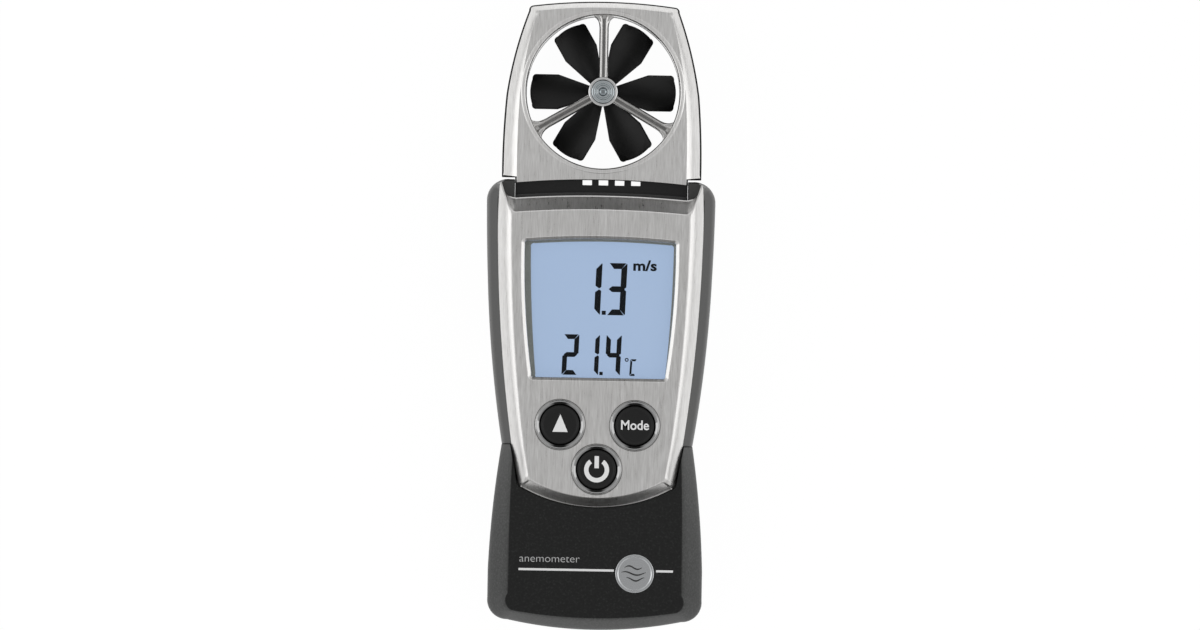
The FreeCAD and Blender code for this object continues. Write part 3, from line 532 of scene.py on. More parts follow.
def turned(name, tone, rough, cx, cy, tint=(1, 1, 1)):
    """Metal with concentric turning marks about an axis parallel to Z."""
    m = Mat(name).set(Metallic=1.0)
    shift = m.nt.nodes.new("ShaderNodeMapping")
    shift.inputs["Location"].default_value = (-cx * MM, -cy * MM, 0)
    m.link(m.coord.outputs["Object"], shift.inputs["Vector"])
    sep = m.nt.nodes.new("ShaderNodeSeparateXYZ")
    m.link(shift.outputs[0], sep.inputs[0])
    rr = m.math("SQRT", m.math("ADD", m.math("MULTIPLY", sep.outputs[0], sep.outputs[0]),
                               m.math("MULTIPLY", sep.outputs[1], sep.outputs[1])), 0.0)
    comb = m.nt.nodes.new("ShaderNodeCombineXYZ")
    m.link(m.math("MULTIPLY", rr, 9000.0), comb.inputs[0])
    n = m.noise(comb.outputs[0], 1.0, 2.0, 0.6)
    m.base(m.ramp(n, [(0.3, [tone * 0.85 * t for t in tint]), (0.7, [tone * t for t in tint])]))
    m.rough(m.spread(n, rough * 0.8, rough * 1.2))
    m.bump(n, 0.00002, 0.3)
    return m.mat


STEEL = brushed("brushed_steel", 0.62, 0.84)
STEEL_HEAD = brushed("brushed_steel_head", 0.64, 0.86)
STEEL_SATIN = brushed("satin_steel", 0.55, 0.68, rough=(0.2, 0.28), along=(2500, 2500, 300), broad=(300, 300, 300))
CHROME = polished("chrome", 0.46, 0.08)
BOSS = turned("turned_steel", 0.78, 0.16, 0, VY)
RAIL = moulded("rail_grey_plastic", 0.030, 0.038, rough=(0.34, 0.42), tint=(1.0, 1.0, 0.96))
HEAD_DARK = moulded("head_dark_plastic", 0.016, 0.022, rough=(0.36, 0.44), specular=0.35)
BLACK = speckled("cap_black")
BLADE = moulded("blade_matt_black", 0.009, 0.014, rough=(0.46, 0.56), grain=3000, specular=0.32)
NECK = moulded("neck_black", 0.007, 0.012, rough=(0.3, 0.4), specular=0.35)
KEY = moulded("key_black", 0.007, 0.011, rough=(0.34, 0.42), grain=3600, specular=0.3)
INNER = moulded("inner_black", 0.012, 0.02)
LEGEND = moulded("legend_white", 0.92, 0.97, rough=(0.5, 0.6), grain=4000, strength=0.1)
PRINT_SOFT = moulded("print_grey", 0.50, 0.58, rough=(0.4, 0.5), grain=4000, strength=0.1)
PRINT = moulded("print_silver", 0.84, 0.90, rough=(0.4, 0.5), grain=4000, strength=0.1)
DIGIT = moulded("digit_navy", 0.0022, 0.0036, rough=(0.5, 0.6), tint=(0.6, 1.1, 2.1), specular=0.06)
# darker copy of the spoke steel for the groove floors: painted shade
GROOVE_PAINTED_SHADE = brushed("spoke_groove_painted_shade", 0.16, 0.26)
EDGE = moulded("display_mask", 0.23, 0.27, rough=(0.3, 0.4), tint=(0.93, 1.0, 0.95))
WHITE = moulded("white_plastic", 0.72, 0.78, rough=(0.4, 0.5))
BOARD = moulded("solder_mask_green", 0.03, 0.05, rough=(0.28, 0.36), tint=(0.25, 1.6, 0.6))
COPPER = moulded("polyimide", 0.12, 0.16, rough=(0.25, 0.3), tint=(2.6, 1.2, 0.3))
BRASS = polished("bearing_brass", 0.7, 0.2, (1.0, 0.78, 0.42))
ZINC = polished("zinc", 0.62, 0.22)
NICKEL = polished("nickel", 0.7, 0.2)
JACKET = moulded("cell_jacket", 0.03, 0.05, rough=(0.2, 0.28), tint=(0.9, 1.0, 1.5))
RUBBER = moulded("zebra_rubber", 0.2, 0.5, rough=(0.6, 0.7), tint=(1, 0.8, 0.9))

lcd = Mat("lcd_blue")
slow = lcd.noise(lcd.mapped((60, 60, 60)), 1.0, 1.0, 0.5)
lcd.base(lcd.ramp(slow, [(0.2, (0.125, 0.165, 0.235)), (0.8, (0.135, 0.175, 0.245))]))
lcd.set(Roughness=0.35)
# the emission is partly a backlight glow and partly painted light that keeps the recessed field bright where shade
# falls
lcd.bsdf.inputs["Emission Color"].default_value = (0.385, 0.512, 0.72, 1)
lcd.bsdf.inputs["Emission Strength"].default_value = 0.69
LCD = lcd.mat

glass = Mat("window_clear")
glass.set(Roughness=0.04)
haze = glass.noise(glass.mapped((200, 200, 200)), 1.0, 1.0, 0.5)
glass.base(glass.ramp(haze, [(0.2, (0.30, 0.33, 0.32)), (0.8, (0.34, 0.37, 0.36))]))
glass.bsdf.inputs["Alpha"].default_value = 0.014
GLASS = glass.mat


# ------------------------------------------------------------------ faceplate, window, display

def levels_from(a, b, profile, width):
    """Levels between two matching outlines: across/width of the profile says how far from a to b."""
    return [(blend2(a, b, x / width), z) for x, z in profile]


def make_faceplate():
    n = counts_for(PLATE)
    a, b = points(PLATE, n), points(FLAT, n)
    nrm = normals2(a)
    outer = [(list(a), 20.0)]
    heights = [20.5, 20.8, 21.1, 21.22, 21.26, 21.31, 21.5, 21.75, 22.05, 22.35, 22.65, 22.88, 23.06, 23.2, 23.32, 23.40,
               23.46, 23.505, 23.54, 23.565, 23.588, 23.6]
    for k, z in enumerate(heights):
        th = math.asin(min(1.0, (z - 20.5) / 3.1))
        # sides: a soft roll; ends: a small lip, a plain facet and a rounded crease
        roll = 0.55 * 1.14 * (1 - math.cos(th)) + 0.45 * (z - 20.5) / 3.1
        t = min(1.0, max(0.0, (z - 21.31) / 2.195))
        face = 0.085 * min(1.0, max(0.0, (z - 21.22) / 0.09)) + 0.835 * t + 0.08 * min(1.0, max(0.0, (z - 23.505) / 0.095))
        ring_pts = []
        for p, q, (nx, ny) in zip(a, b, nrm):
            w = min(1.0, max(0.0, (abs(nx) - 0.30) / 0.50))
            w = w * w * (3 - 2 * w)
            f = roll * w + face * (1 - w)
            ring_pts.append((p[0] + (q[0] - p[0]) * f, p[1] + (q[1] - p[1]) * f))
        outer.append((ring_pts, z))
    dn = counts_for(DISPLAY)
    d = points(DISPLAY, dn)
    hole = [(shrink(d, t), z) for t, z in soften([(-0.1, 23.6), (0.15, 23.6), (0.85, 23.2), (0.85, 20.0)],
                                                [0.28, 0.12], 5)]
    holes = [hole]
    for x, y in KEYS.values():
        holes.append([(circle(x, y, r, 72), z) for r, z in [(5.36, 23.6), (5.29, 23.56), (5.27, 23.48), (5.27, 20.0)]])
    ob = slab("faceplate_shell", outer, holes, STEEL)
    return put(ob, "body", "faceplate")


def make_window():
    dn = counts_for(DISPLAY)
    w = shrink(points(DISPLAY, dn), 0.9)
    ob = slab("window_pane", [(shrink(w, 0.12), 21.5), (w, 21.62), (w, 22.36), (shrink(w, 0.12), 22.48)], (), GLASS)
    return put(ob, "body", "display_window")


# visible blue field of the display
FIELD = sym((0, 15.3), [(13.9, 14.75), ((14.6, 14.6), (14.8, 13.9)), ((14.4, 0.4), (13.45, -12.2)),
                        ((13.2, -13.1), (12.4, -13.3))], None)
FIELD_X = 0.42


def make_display():
    n = counts_for(FIELD)
    f = [(x + FIELD_X, y) for x, y in points(FIELD, n)]
    # a mask under the window with the field cut out of it
    mn = counts_for(DISPLAY)
    frame_outer = shrink(points(DISPLAY, mn), 0.55)
    hole = [(shrink(f, t), z) for t, z in [(0.0, 21.38), (0.05, 21.35), (0.08, 21.0)]]
    mask = slab("display_mask", [(frame_outer, 21.0), (frame_outer, 21.34), (shrink(frame_outer, 0.05), 21.38)],
                [hole], EDGE)
    put(mask, "body", "lcd_frame")
    lo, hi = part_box("lcd_glass")
    x0, y0, z0, x1, y1, z1 = lo.x / MM, lo.y / MM, lo.z / MM, hi.x / MM, hi.y / MM, hi.z / MM
    bm = bmesh.new()
    r = 0.15
    quad = [(x0, y1), (x1, y1), (x1, y0), (x0, y0)]
    inner = [(x0 + r, y1 - r), (x1 - r, y1 - r), (x1 - r, y0 + r), (x0 + r, y0 + r)]
    rings = [ring(bm, inner, z0), ring(bm, quad, z0 + r), ring(bm, quad, z1 - r), ring(bm, inner, z1)]
    for p, q in zip(rings[:-1], rings[1:]):
        strip(bm, p, q)
    bm.faces.new(rings[0])
    bm.faces.new(rings[-1])
    cell = new_object("lcd_cell", bm, LCD)
    put(cell, "body", "lcd_glass")


LCD_TOP = 20.92


def seg_poly(pts, z0, z1, bm):
    polygon_prism(bm, pts, z0, z1)


def make_digits():
    """Slanted seven-segment readings. Positions in millimetres on the display."""
    bm = bmesh.new()

    def digit(x, y, w, h_, t, on, lean=0.035, g=0.09):
        # x, y: lower left of the upright box; segments a b c d e f g
        def p(u, v):
            return (x + u + (v - h_ / 2) * lean, y + v)
        m = h_ / 2
        polys = {
            "a": [(g + t * 0.12, h_), (w - g - t * 0.12, h_), (w - g - t * 0.9, h_ - t), (g + t * 0.9, h_ - t)],
            "d": [(g + t * 0.12, 0), (w - g - t * 0.12, 0), (w - g - t * 0.9, t), (g + t * 0.9, t)],
            "g": [(g + t * 0.15, m), (g + t * 0.75, m + t / 2), (w - g - t * 0.75, m + t / 2), (w - g - t * 0.15, m),
                  (w - g - t * 0.75, m - t / 2), (g + t * 0.75, m - t / 2)],
            "b": [(w, h_ - g - t * 0.12), (w - t * 0.10, h_ - g), (w - t, h_ - g - t * 0.95), (w - t, m + g + t * 0.45), (w - t * 0.35, m + g),
                  (w, m + g + t * 0.25)],
            "c": [(w, m - g - t * 0.25), (w - t * 0.35, m - g), (w - t, m - g - t * 0.45), (w - t, g + t * 0.95), (w - t * 0.10, g),
                  (w, g + t * 0.12)],
            "f": [(0, h_ - g - t * 0.12), (t * 0.10, h_ - g), (t, h_ - g - t * 0.95), (t, m + g + t * 0.45), (t * 0.35, m + g),
                  (0, m + g + t * 0.25)],
            "e": [(0, m - g - t * 0.25), (t * 0.35, m - g), (t, m - g - t * 0.45), (t, g + t * 0.95), (t * 0.10, g),
                  (0, g + t * 0.12)],
        }
        for s in on:
            polygon_prism(bm, [p(u, v) for u, v in polys[s]], LCD_TOP - 0.01, LCD_TOP + 0.03)

    def spot(x, y, s):
        polygon_prism(bm, [(x, y), (x + s, y), (x + s, y + s), (x, y + s)], LCD_TOP - 0.01, LCD_TOP + 0.03)

    # upper reading 1.3
    digit(-4.27, 0.10, 4.6, 10.75, 1.24, "bc")
    spot(0.50, 0.16, 0.84)
    digit(1.58, 0.10, 3.90, 10.75, 1.20, "abcdg")
    # lower reading 21.4
    digit(-7.45, -12.32, 3.30, 8.35, 0.98, "abged")
    digit(-3.85, -12.32, 3.95, 8.35, 0.90, "bc")
    spot(0.22, -12.30, 0.70)
    digit(1.45, -12.32, 3.15, 8.35, 0.96, "fgbc")
    # degree ring and C with square corners
    for i in range(16):
        a0, a1 = 2 * math.pi * i / 16, 2 * math.pi * (i + 1) / 16
        cx, cy = 5.82, -9.05
        polygon_prism(bm, [(cx + 0.40 * math.cos(a0), cy + 0.40 * math.sin(a0)), (cx + 0.40 * math.cos(a1), cy + 0.40 * math.sin(a1)),
                           (cx + 0.20 * math.cos(a1), cy + 0.20 * math.sin(a1)), (cx + 0.20 * math.cos(a0), cy + 0.20 * math.sin(a0))],
                      LCD_TOP - 0.01, LCD_TOP + 0.03)
    lean = 0.06

    def q(u, v):
        return (6.38 + u + v * lean, -12.35 + v)
    for poly in ([(0.05, 3.45), (1.25, 3.45), (1.05, 3.02), (0.46, 3.02)], [(0, 3.35), (0.42, 2.95), (0.42, 0.48), (0, 0.1)],
                 [(0.05, 0.0), (1.15, 0.0), (1.0, 0.43), (0.46, 0.43)]):
        polygon_prism(bm, [q(u, v) for u, v in poly], LCD_TOP - 0.01, LCD_TOP + 0.03)
    ob = new_object("display_digits", bm, DIGIT, weighted=False)
    put(ob, "body", None)
    unit = text_piece("display_units", "m/s", 2.30, 6.85, 9.42, LCD_TOP - 0.01, 0.04, DIGIT, bold=0.075, width=4.85, squash=1.28)
    put(unit, "body", None)


def text_piece(name, body, size, x, y, z, thick, mat, bold=0.0, width=None, align="LEFT", squash=1.0):
    cu = bpy.data.curves.new(name, "FONT")
    cu.body = body
    cu.size = size * MM
    cu.extrude = thick / 2 * MM
    cu.offset = bold * MM
    cu.resolution_u = 6
    cu.align_x = align
    ob = bpy.data.objects.new(name + "_src", cu)
    bpy.context.scene.collection.objects.link(ob)
    bpy.context.view_layer.update()
    me = bpy.data.meshes.new_from_object(ob.evaluated_get(bpy.context.evaluated_depsgraph_get()))
    bpy.data.objects.remove(ob)
    xs = [v.co.x for v in me.vertices]
    k = 1.0
    if width:
        k = width * MM / (max(xs) - min(xs))
    x_min = min(xs) if align == "LEFT" else 0.0
    for v in me.vertices:
        v.co = Vector(((v.co.x - x_min) * k + x * MM, v.co.y * squash + y * MM, v.co.z + (z + thick / 2) * MM))
    me.name = name
    me.materials.clear()
    me.materials.append(mat)
    out = bpy.data.objects.new(name, me)
    bpy.context.scene.collection.objects.link(out)
    return out


# ------------------------------------------------------------------ keys and rings

def make_keys():
    for key, (x, y) in KEYS.items():
        prof = soften([(4.5, 21.4), (5.8, 21.4), (5.8, 22.3), (5.20, 22.3), (5.20, 23.80), (5.02, 24.2), (4.80, 24.32),
                       (4.26, 23.9), (4.22, 22.0), (4.5, 21.4)], [0.05, 0.05, 0.05, 0.10, 0.12, 0.14, 0.10, 0.1], 4)
        ob = lathe("key_ring_" + key, prof[:-1], x, y, CHROME, 96)
        put(ob, "body", "button_ring_" + key)
        cap = soften([(0.0, 18.3), (1.6, 18.3), (1.6, 20.7), (4.9, 20.7), (4.9, 21.1), (4.05, 21.1), (4.05, 23.86),
                      (3.78, 24.07), (3.4, 23.93), (0.0, 23.90)], [0.1, 0.1, 0.1, 0.1, 0.1, 0.26, 0.2, 0.25], 5)
        ob = lathe("key_cap_" + key, cap, x, y, KEY, 96, closed=False)
        put(ob, "button_" + key, "button_" + key)
    # legends sit just proud of the dished tops
    z = 23.97
    bm = bmesh.new()
    x, y = KEYS["up"]
    polygon_prism(bm, [(x - 1.55, y - 1.50), (x + 0.05, y + 2.15), (x + 1.62, y - 1.50)], z - 0.12, z + 0.02)
    ob = new_object("legend_up", bm, LEGEND, weighted=False)
    put(ob, "button_up", None)
    x, y = KEYS["mode"]
    ob = text_piece("legend_mode", "Mode", 2.75, x - 2.82, y - 0.78, z - 0.12, 0.14, LEGEND, bold=0.04, width=5.75)
    put(ob, "button_mode", None)
    bm = bmesh.new()
    x, y = KEYS["power"]
    gap = math.radians(36)
    n = 56
    cyy = y - 0.10
    for i in range(n):
        a0 = math.pi / 2 + gap + (2 * math.pi - 2 * gap) * i / n
        a1 = math.pi / 2 + gap + (2 * math.pi - 2 * gap) * (i + 1) / n
        quad = [(x + 2.58 * math.cos(a0), cyy + 2.58 * math.sin(a0)), (x + 2.58 * math.cos(a1), cyy + 2.58 * math.sin(a1)),
                (x + 1.66 * math.cos(a1), cyy + 1.66 * math.sin(a1)), (x + 1.66 * math.cos(a0), cyy + 1.66 * math.sin(a0))]
        a, b = ring(bm, quad, z - 0.12), ring(bm, quad, z + 0.02)
        bm.faces.new(a)
        bm.faces.new(b)
        bm.faces.new([a[0], a[1], b[1], b[0]])
        bm.faces.new([a[2], a[3], b[3], b[2]])
        if i == 0:
            bm.faces.new([a[3], a[0], b[0], b[3]])
        if i == n - 1:
            bm.faces.new([a[1], a[2], b[2], b[1]])
    polygon_prism(bm, [(x - 0.45, cyy + 0.35), (x - 0.45, cyy + 2.85), (x + 0.45, cyy + 2.85), (x + 0.45, cyy + 0.35)],
                  z - 0.12, z + 0.02)
    ob = new_object("legend_power", bm, LEGEND, weighted=False)
    put(ob, "button_power", None)


make_faceplate()
make_window()
make_display()
make_digits()
make_keys()


# ------------------------------------------------------------------ housing shells

def body_points():
    """Body outline and its inset, keeping the waist and the saddle in line with their neighbours."""
    n = counts_for(BODY)
    p = points(BODY, n)
    nn = normals2(p)

    def at(d):
        out = []
        for (x, y), (nx, ny) in zip(p, nn):
            dx, dy = nx * d, ny * d
            if abs(y - WAIST) < 0.01:
                dy = 0.0
                dx = -math.copysign(min(d, abs(x)), x) * (1.0 if abs(x) > 19.5 else abs(x) / 19.73)
            elif abs(abs(x) - 18.0) < 0.01:
                dx = 0.0
                dy = 0.0 if y < 27.0 else max(dy, -0.3)
            elif abs(y - SADDLE) < 0.01:
                dx = dy = 0.0
            elif y > 27.0:
                dx *= 0.5
                dy = max(dy, -0.35)
            out.append((x + dx, y + dy))
        return out
    return at


STUB = sym(None, [(18.2, WAIST + 1.0), (None, (18.2, -59.5)), ((17.2, -62.0), (14.6, -63.0))], None)
ROOM = sym(None, [(18.9, 22.4), ((21.3, 21.55), (22.05, 19.4)), ((21.95, 14.0), (21.6, 7.4)),
                  ((20.4, -9.6), (18.1, WAIST + 0.4))], None)


def solid_from(segs, z0, z1, d=0.0, name="tool"):
    n = counts_for(segs, 1.5)
    p = points(segs, n)
    if d:
        p = shrink(p, d)
    return slab(name, [(p, z0), (p, z1)])


def block(x0, y0, z0, x1, y1, z1, name="tool"):
    bm = bmesh.new()
    polygon_prism(bm, [(x0, y1), (x1, y1), (x1, y0), (x0, y0)], z0, z1)
    return new_object(name, bm, None, weighted=False)


def cylinder_tool(x, y, z0, z1, r, n=40, name="tool"):
    p = circle(x, y, r, n)
    return slab(name, [(p, z0), (p, z1)])


def strip_mods(ob):
    ob.modifiers.clear()
    return ob


def make_shells():
    at = body_points()
    prof = soften([(0.0, 11.88), (0.0, 15.7), (2.3, 20.0)], [2.2], 8)
    levels = [(at(0.12), 11.82)] + [(at(d), z) for d, z in prof] + [(at(3.2), 20.02)]
    front = strip_mods(slab("front_shell_skin", levels[:-1], (), RAIL))
    cut(front, strip_mods(block(-17.0, -15.7, 17.0, 17.0, 17.4, 21.0)))
    cut(front, strip_mods(solid_from(ROOM, 10.0, 18.4, 0.8)))
    # the inner faces of the two ears match the neck between them
    front.data.materials.append(NECK)
    for poly in front.data.polygons:
        c = poly.center
        if c.y > 23.7 * MM and abs(c.x) < 21.0 * MM and c.z > 12.5 * MM:
            poly.material_index = 1
    reshade(front, 34)
    put(front, "body", "front_shell")

    # closed stub under the cap, a part of the front shell: walls, then a narrower roof
    s = points(STUB, counts_for(STUB))
    bm = bmesh.new()
    polygon_prism(bm, [(-18.2, WAIST + 1.0), (18.2, WAIST + 1.0), (18.2, -59.5), (17.2, -62.0), (14.6, -63.0),
                       (-14.6, -63.0), (-17.2, -62.0), (-18.2, -59.5)], 11.82, 17.38)
    wall = strip_mods(new_object("front_stub_skin", bm, RAIL))
    reshade(wall, 34)
    put(wall, "body", "front_shell")
    bm = bmesh.new()
    polygon_prism(bm, [(-16.45, WAIST + 1.0), (16.45, WAIST + 1.0), (16.45, -59.2), (14.0, -61.2), (-14.0, -61.2),
                       (-16.45, -59.2)], 17.3, 19.9)
    roof = strip_mods(new_object("front_stub_roof", bm, RAIL))
    reshade(roof, 34, 0.12, 2)
    put(roof, "body", "front_shell")

    prof = soften([(2.7, 0.0), (0.35, 0.35), (0.0, 5.0), (0.0, 11.72)], [1.6, 2.6], 7)
    levels = [(at(max(d, 0.0)), z) for d, z in prof] + [(at(0.12), 11.78)]
    rear = strip_mods(slab("rear_shell_skin", levels, (), RAIL))
    stub = strip_mods(slab("tool", [(shrink(s, 0.4), 1.8), (s, 2.3), (s, 11.78)], (), RAIL))
    cut(rear, stub, op="UNION")
    cut(rear, strip_mods(solid_from(ROOM, 5.0, 13.0)))
    cut(rear, strip_mods(solid_from(ROOM, 2.4, 5.5, 1.6)))
    cut(rear, strip_mods(solid_from(STUB, 3.3, 13.0, 1.6)))
    cut(rear, strip_mods(block(-16.7, -30.0, 3.4, 16.7, -22.0, 13.0)))
    cut(rear, strip_mods(block(-12.3, -25.4, -1.0, 12.3, 25.0, 2.7)))
    cut(rear, strip_mods(block(-13.4, -25.4, 0.8, 13.4, 25.0, 2.7)))
    for x, y, low in ((19.0, 17.0, -1.0), (-19.0, 17.0, -1.0), (13.0, -54.0, 0.5), (-13.0, -54.0, 0.5)):
        cut(rear, strip_mods(cylinder_tool(x, y, low, 2.0 if y > 0 else 3.0, 2.05)))
    reshade(rear, 34, 0.12, 2)
    put(rear, "body", "rear_shell")

    # battery door: plate with side lips and pressed grip ribs
    bm = bmesh.new()
    sec = [(-12.0, 0.15), (-12.0, 1.1), (-13.1, 1.1), (-13.1, 2.0), (13.1, 2.0), (13.1, 1.1), (12.0, 1.1), (12.0, 0.15)]
    a = [bm.verts.new((x * MM, -25.1 * MM, z * MM)) for x, z in sec]
    b = [bm.verts.new((x * MM, 23.6 * MM, z * MM)) for x, z in sec]
    strip(bm, a, b)
    bm.faces.new(a)
    bm.faces.new(b)
    door = strip_mods(new_object("battery_door_skin", bm, RAIL))
    for i in range(6):
        y = -20.5 + i * 1.7
        p = points(round_rect(-5.5, y, 5.5, y + 0.85, 0.4), [1, 5, 1, 5, 1, 5, 1, 5])
        cut(door, strip_mods(slab("tool", [(p, -0.5), (p, 0.6)])))
    arrow = [(-2.4, -9.6), (0.0, -7.2), (2.4, -9.6), (2.4, -10.6), (0.0, -8.2), (-2.4, -10.6)]
    bm = bmesh.new()
    polygon_prism(bm, arrow, -0.5, 0.45)
    cut(door, strip_mods(new_object("tool", bm, None, weighted=False)))
    reshade(door, 34, 0.14, 2)
    put(door, "battery_door", "battery_door")


def round_rect(x0, y0, x1, y1, r):
    k = r * (1 - math.sqrt(0.5))
    return [((x0 + r, y1), None, (x1 - r, y1)), ((x1 - r, y1), (x1 - k, y1 - k), (x1, y1 - r)),
            ((x1, y1 - r), None, (x1, y0 + r)), ((x1, y0 + r), (x1 - k, y0 + k), (x1 - r, y0)),
            ((x1 - r, y0), None, (x0 + r, y0)), ((x0 + r, y0), (x0 + k, y0 + k), (x0, y0 + r)),
            ((x0, y0 + r), None, (x0, y1 - r)), ((x0, y1 - r), (x0 + k, y1 - k), (x0 + r, y1))]


# ------------------------------------------------------------------ base cap

def make_cap():
    n = counts_for(CAP)
    a, b = points(CAP, n), points(CAP_FLAT, n)

    def inset_cap(d):
        out = []
        for (x, y), (nx, ny) in zip(a, normals2(a)):
            if y > -27.0:
                out.append((x - math.copysign(min(d, abs(x)), x) * (1.0 if abs(x) > 19.5 else abs(x) / 19.73), y))
            else:
                out.append((x + nx * d, y + ny * d))
        return out
    low = soften([(2.7, 0.0), (0.35, 0.35), (0.0, 5.0), (0.0, 9.0)], [1.6, 2.6], 7)
    levels = [(inset_cap(max(d, 0.0)), z) for d, z in low]
    top = [(0.0, 10.0), (0.0, 15.9), (0.06, 16.5), (0.22, 17.05), (0.5, 17.6), (0.9, 18.25), (1.35, 18.95), (1.8, 19.62),
           (2.15, 20.14), (2.45, 20.56), (2.68, 20.86), (2.86, 21.06), (3.0, 21.2), (3.1, 21.29), (3.18, 21.35),
           (3.26, 21.39), (3.33, 21.4)]
    levels += levels_from(a, b, top, 3.0)
    cap = strip_mods(slab("base_cap_skin", levels, (), BLACK))
    hole = sym(None, [(18.5, -26.0), (None, (18.5, -59.6)), ((17.5, -62.3), (14.8, -63.15))], None)
    cut(cap, strip_mods(solid_from(hole, 1.5, 17.55)))
    cut(cap, strip_mods(solid_from(hole, 17.45, 20.2, 1.7)))
    cut(cap, strip_mods(block(-16.8, WAIST - 3.0, 17.45, 16.8, -25.5, 20.2)))
    pn = counts_for(PLATE)
    notch = shrink(points(PLATE, pn), -0.3)
    cut(cap, strip_mods(slab("tool", [(notch, 19.7), (notch, 24.0)])))
    cut(cap, strip_mods(cylinder_tool(8.2, -53.1, 21.05, 24.0, 4.05, 72)))
    reshade(cap, 34, 0.1, 2)
    put(cap, "base_cap", "base_cap")

    # printed rule, broken by the badge
    bm = bmesh.new()
    for x0, x1 in ((-15.75, 3.9), (12.6, 16.1)):
        polygon_prism(bm, [(x0, -52.3), (x1, -52.3), (x1, -52.76), (x0, -52.76)], 21.38, 21.42)
    ob = new_object("cap_rule", bm, PRINT, weighted=False)
    put(ob, "base_cap", None)
    ob = text_piece("cap_legend", "anemometer", 2.3, -15.6, -51.0, 21.38, 0.04, PRINT_SOFT, bold=-0.03, width=12.4)
    put(ob, "base_cap", None)

    # plain metal badge with a raised rim and three drifting lines
    prof = soften([(0.0, 21.05), (4.0, 21.05), (4.0, 21.5), (3.55, 21.55), (3.35, 21.42), (0.0, 21.46)],
                  [0.05, 0.12, 0.1, 0.1], 4)
    ob = lathe("badge_disc", prof, 8.2, -53.1, BADGE, 96, closed=False)
    put(ob, "base_cap", "cap_badge")
    bm = bmesh.new()
    for row, (y0, x0, x1) in enumerate(((1.25, -2.1, 1.5), (0.05, -2.7, 2.3), (-1.15, -1.7, 2.0))):
        steps = 26
        top, low_ = [], []
        for i in range(steps + 1):
            f = i / steps
            u = x0 + (x1 - x0) * f
            v = y0 + 0.34 * math.sin(f * math.pi * 2 + row * 0.7)
            half = 0.17 * math.sin(math.pi * min(max(f, 0.04), 0.96)) ** 0.5
            top.append((8.2 + u, -53.1 + v + half))
            low_.append((8.2 + u, -53.1 + v - half))
        polygon_prism(bm, top + low_[::-1], 21.40, 21.52)
    ob = new_object("badge_lines", bm, BADGE_LINE, weighted=False)
    put(ob, "base_cap", None)


BADGE = turned("badge_satin", 0.62, 0.22, 8.2, -53.1, (0.96, 0.98, 1.0))
BADGE_LINE = moulded("badge_line_dark", 0.02, 0.03, rough=(0.35, 0.42))


# ------------------------------------------------------------------ vane head

def make_head():
    n = counts_for(HEAD)
    a, b = points(HEAD, n), points(HEAD_FLAT, n)
    skin = shrink(a, 0.42)
    # keep the tongue to the neck full width
    skin = [(p if q[1] < 28.41 and abs(q[0]) < 18.0 else (p[0], max(p[1], 28.4)) if abs(q[1] - 28.4) < 0.02 else p)
            for p, q in zip(skin, a)]
    prof = [(0.0, 11.5), (0.0, 16.3), (0.04, 16.55), (0.13, 16.74), (0.3, 16.93), (0.7, 17.32), (1.1, 17.7), (1.5, 18.06),
            (1.8, 18.30), (2.05, 18.47), (2.3, 18.62), (2.55, 18.75), (2.8, 18.86), (2.98, 18.94), (3.08, 18.985), (3.14, 19.0)]
    levels = levels_from(skin, b, prof, 3.05)
    r = 15.85
    hole = [(circle(0, VY, rr, 128), z) for rr, z in
            [(16.98, 19.0), (16.93, 18.985), (16.86, 18.93), (16.80, 18.90)] +
            soften([(16.75, 18.88), (r + 0.25, 18.84), (r, 18.5), (r, 11.5)], [0.3, 0.3], 5)]
    front = slab("head_face", levels, [hole], STEEL_HEAD)
    put(front, "body", "head_front_cover")

    back = [(HEAD_D, HEAD_Z) for HEAD_D, HEAD_Z in soften([(1.5, 3.6), (0.0, 5.4), (0.0, 11.45)], [1.6], 7)]
    levels = []
    for d, z in back:
        p = []
        for (x, y), (nx, ny) in zip(a, normals2(a)):
            if y < 28.41:
                p.append((x - math.copysign(d, x), y) if abs(x) > 19 else (x, y))
            else:
                p.append((x + nx * d, y + ny * d))
        levels.append((p, z))
    rhole = [(circle(0, VY, rr, 128), z) for rr, z in [(r, 11.45), (r, 4.1), (r + 0.15, 3.8), (r + 0.5, 3.6)]]
    rear = slab("head_back", levels, [rhole], HEAD_DARK)
    put(rear, "body", "head_rear_cover")


def spoke_profile():
    """Half section of a spoke as (across, height below the top): two ridges and a groove."""
    return [(0.0, -0.46), (0.18, -0.44), (0.34, -0.12), (0.56, 0.0), (0.78, -0.12), (0.95, -0.50), (0.95, -1.9)]


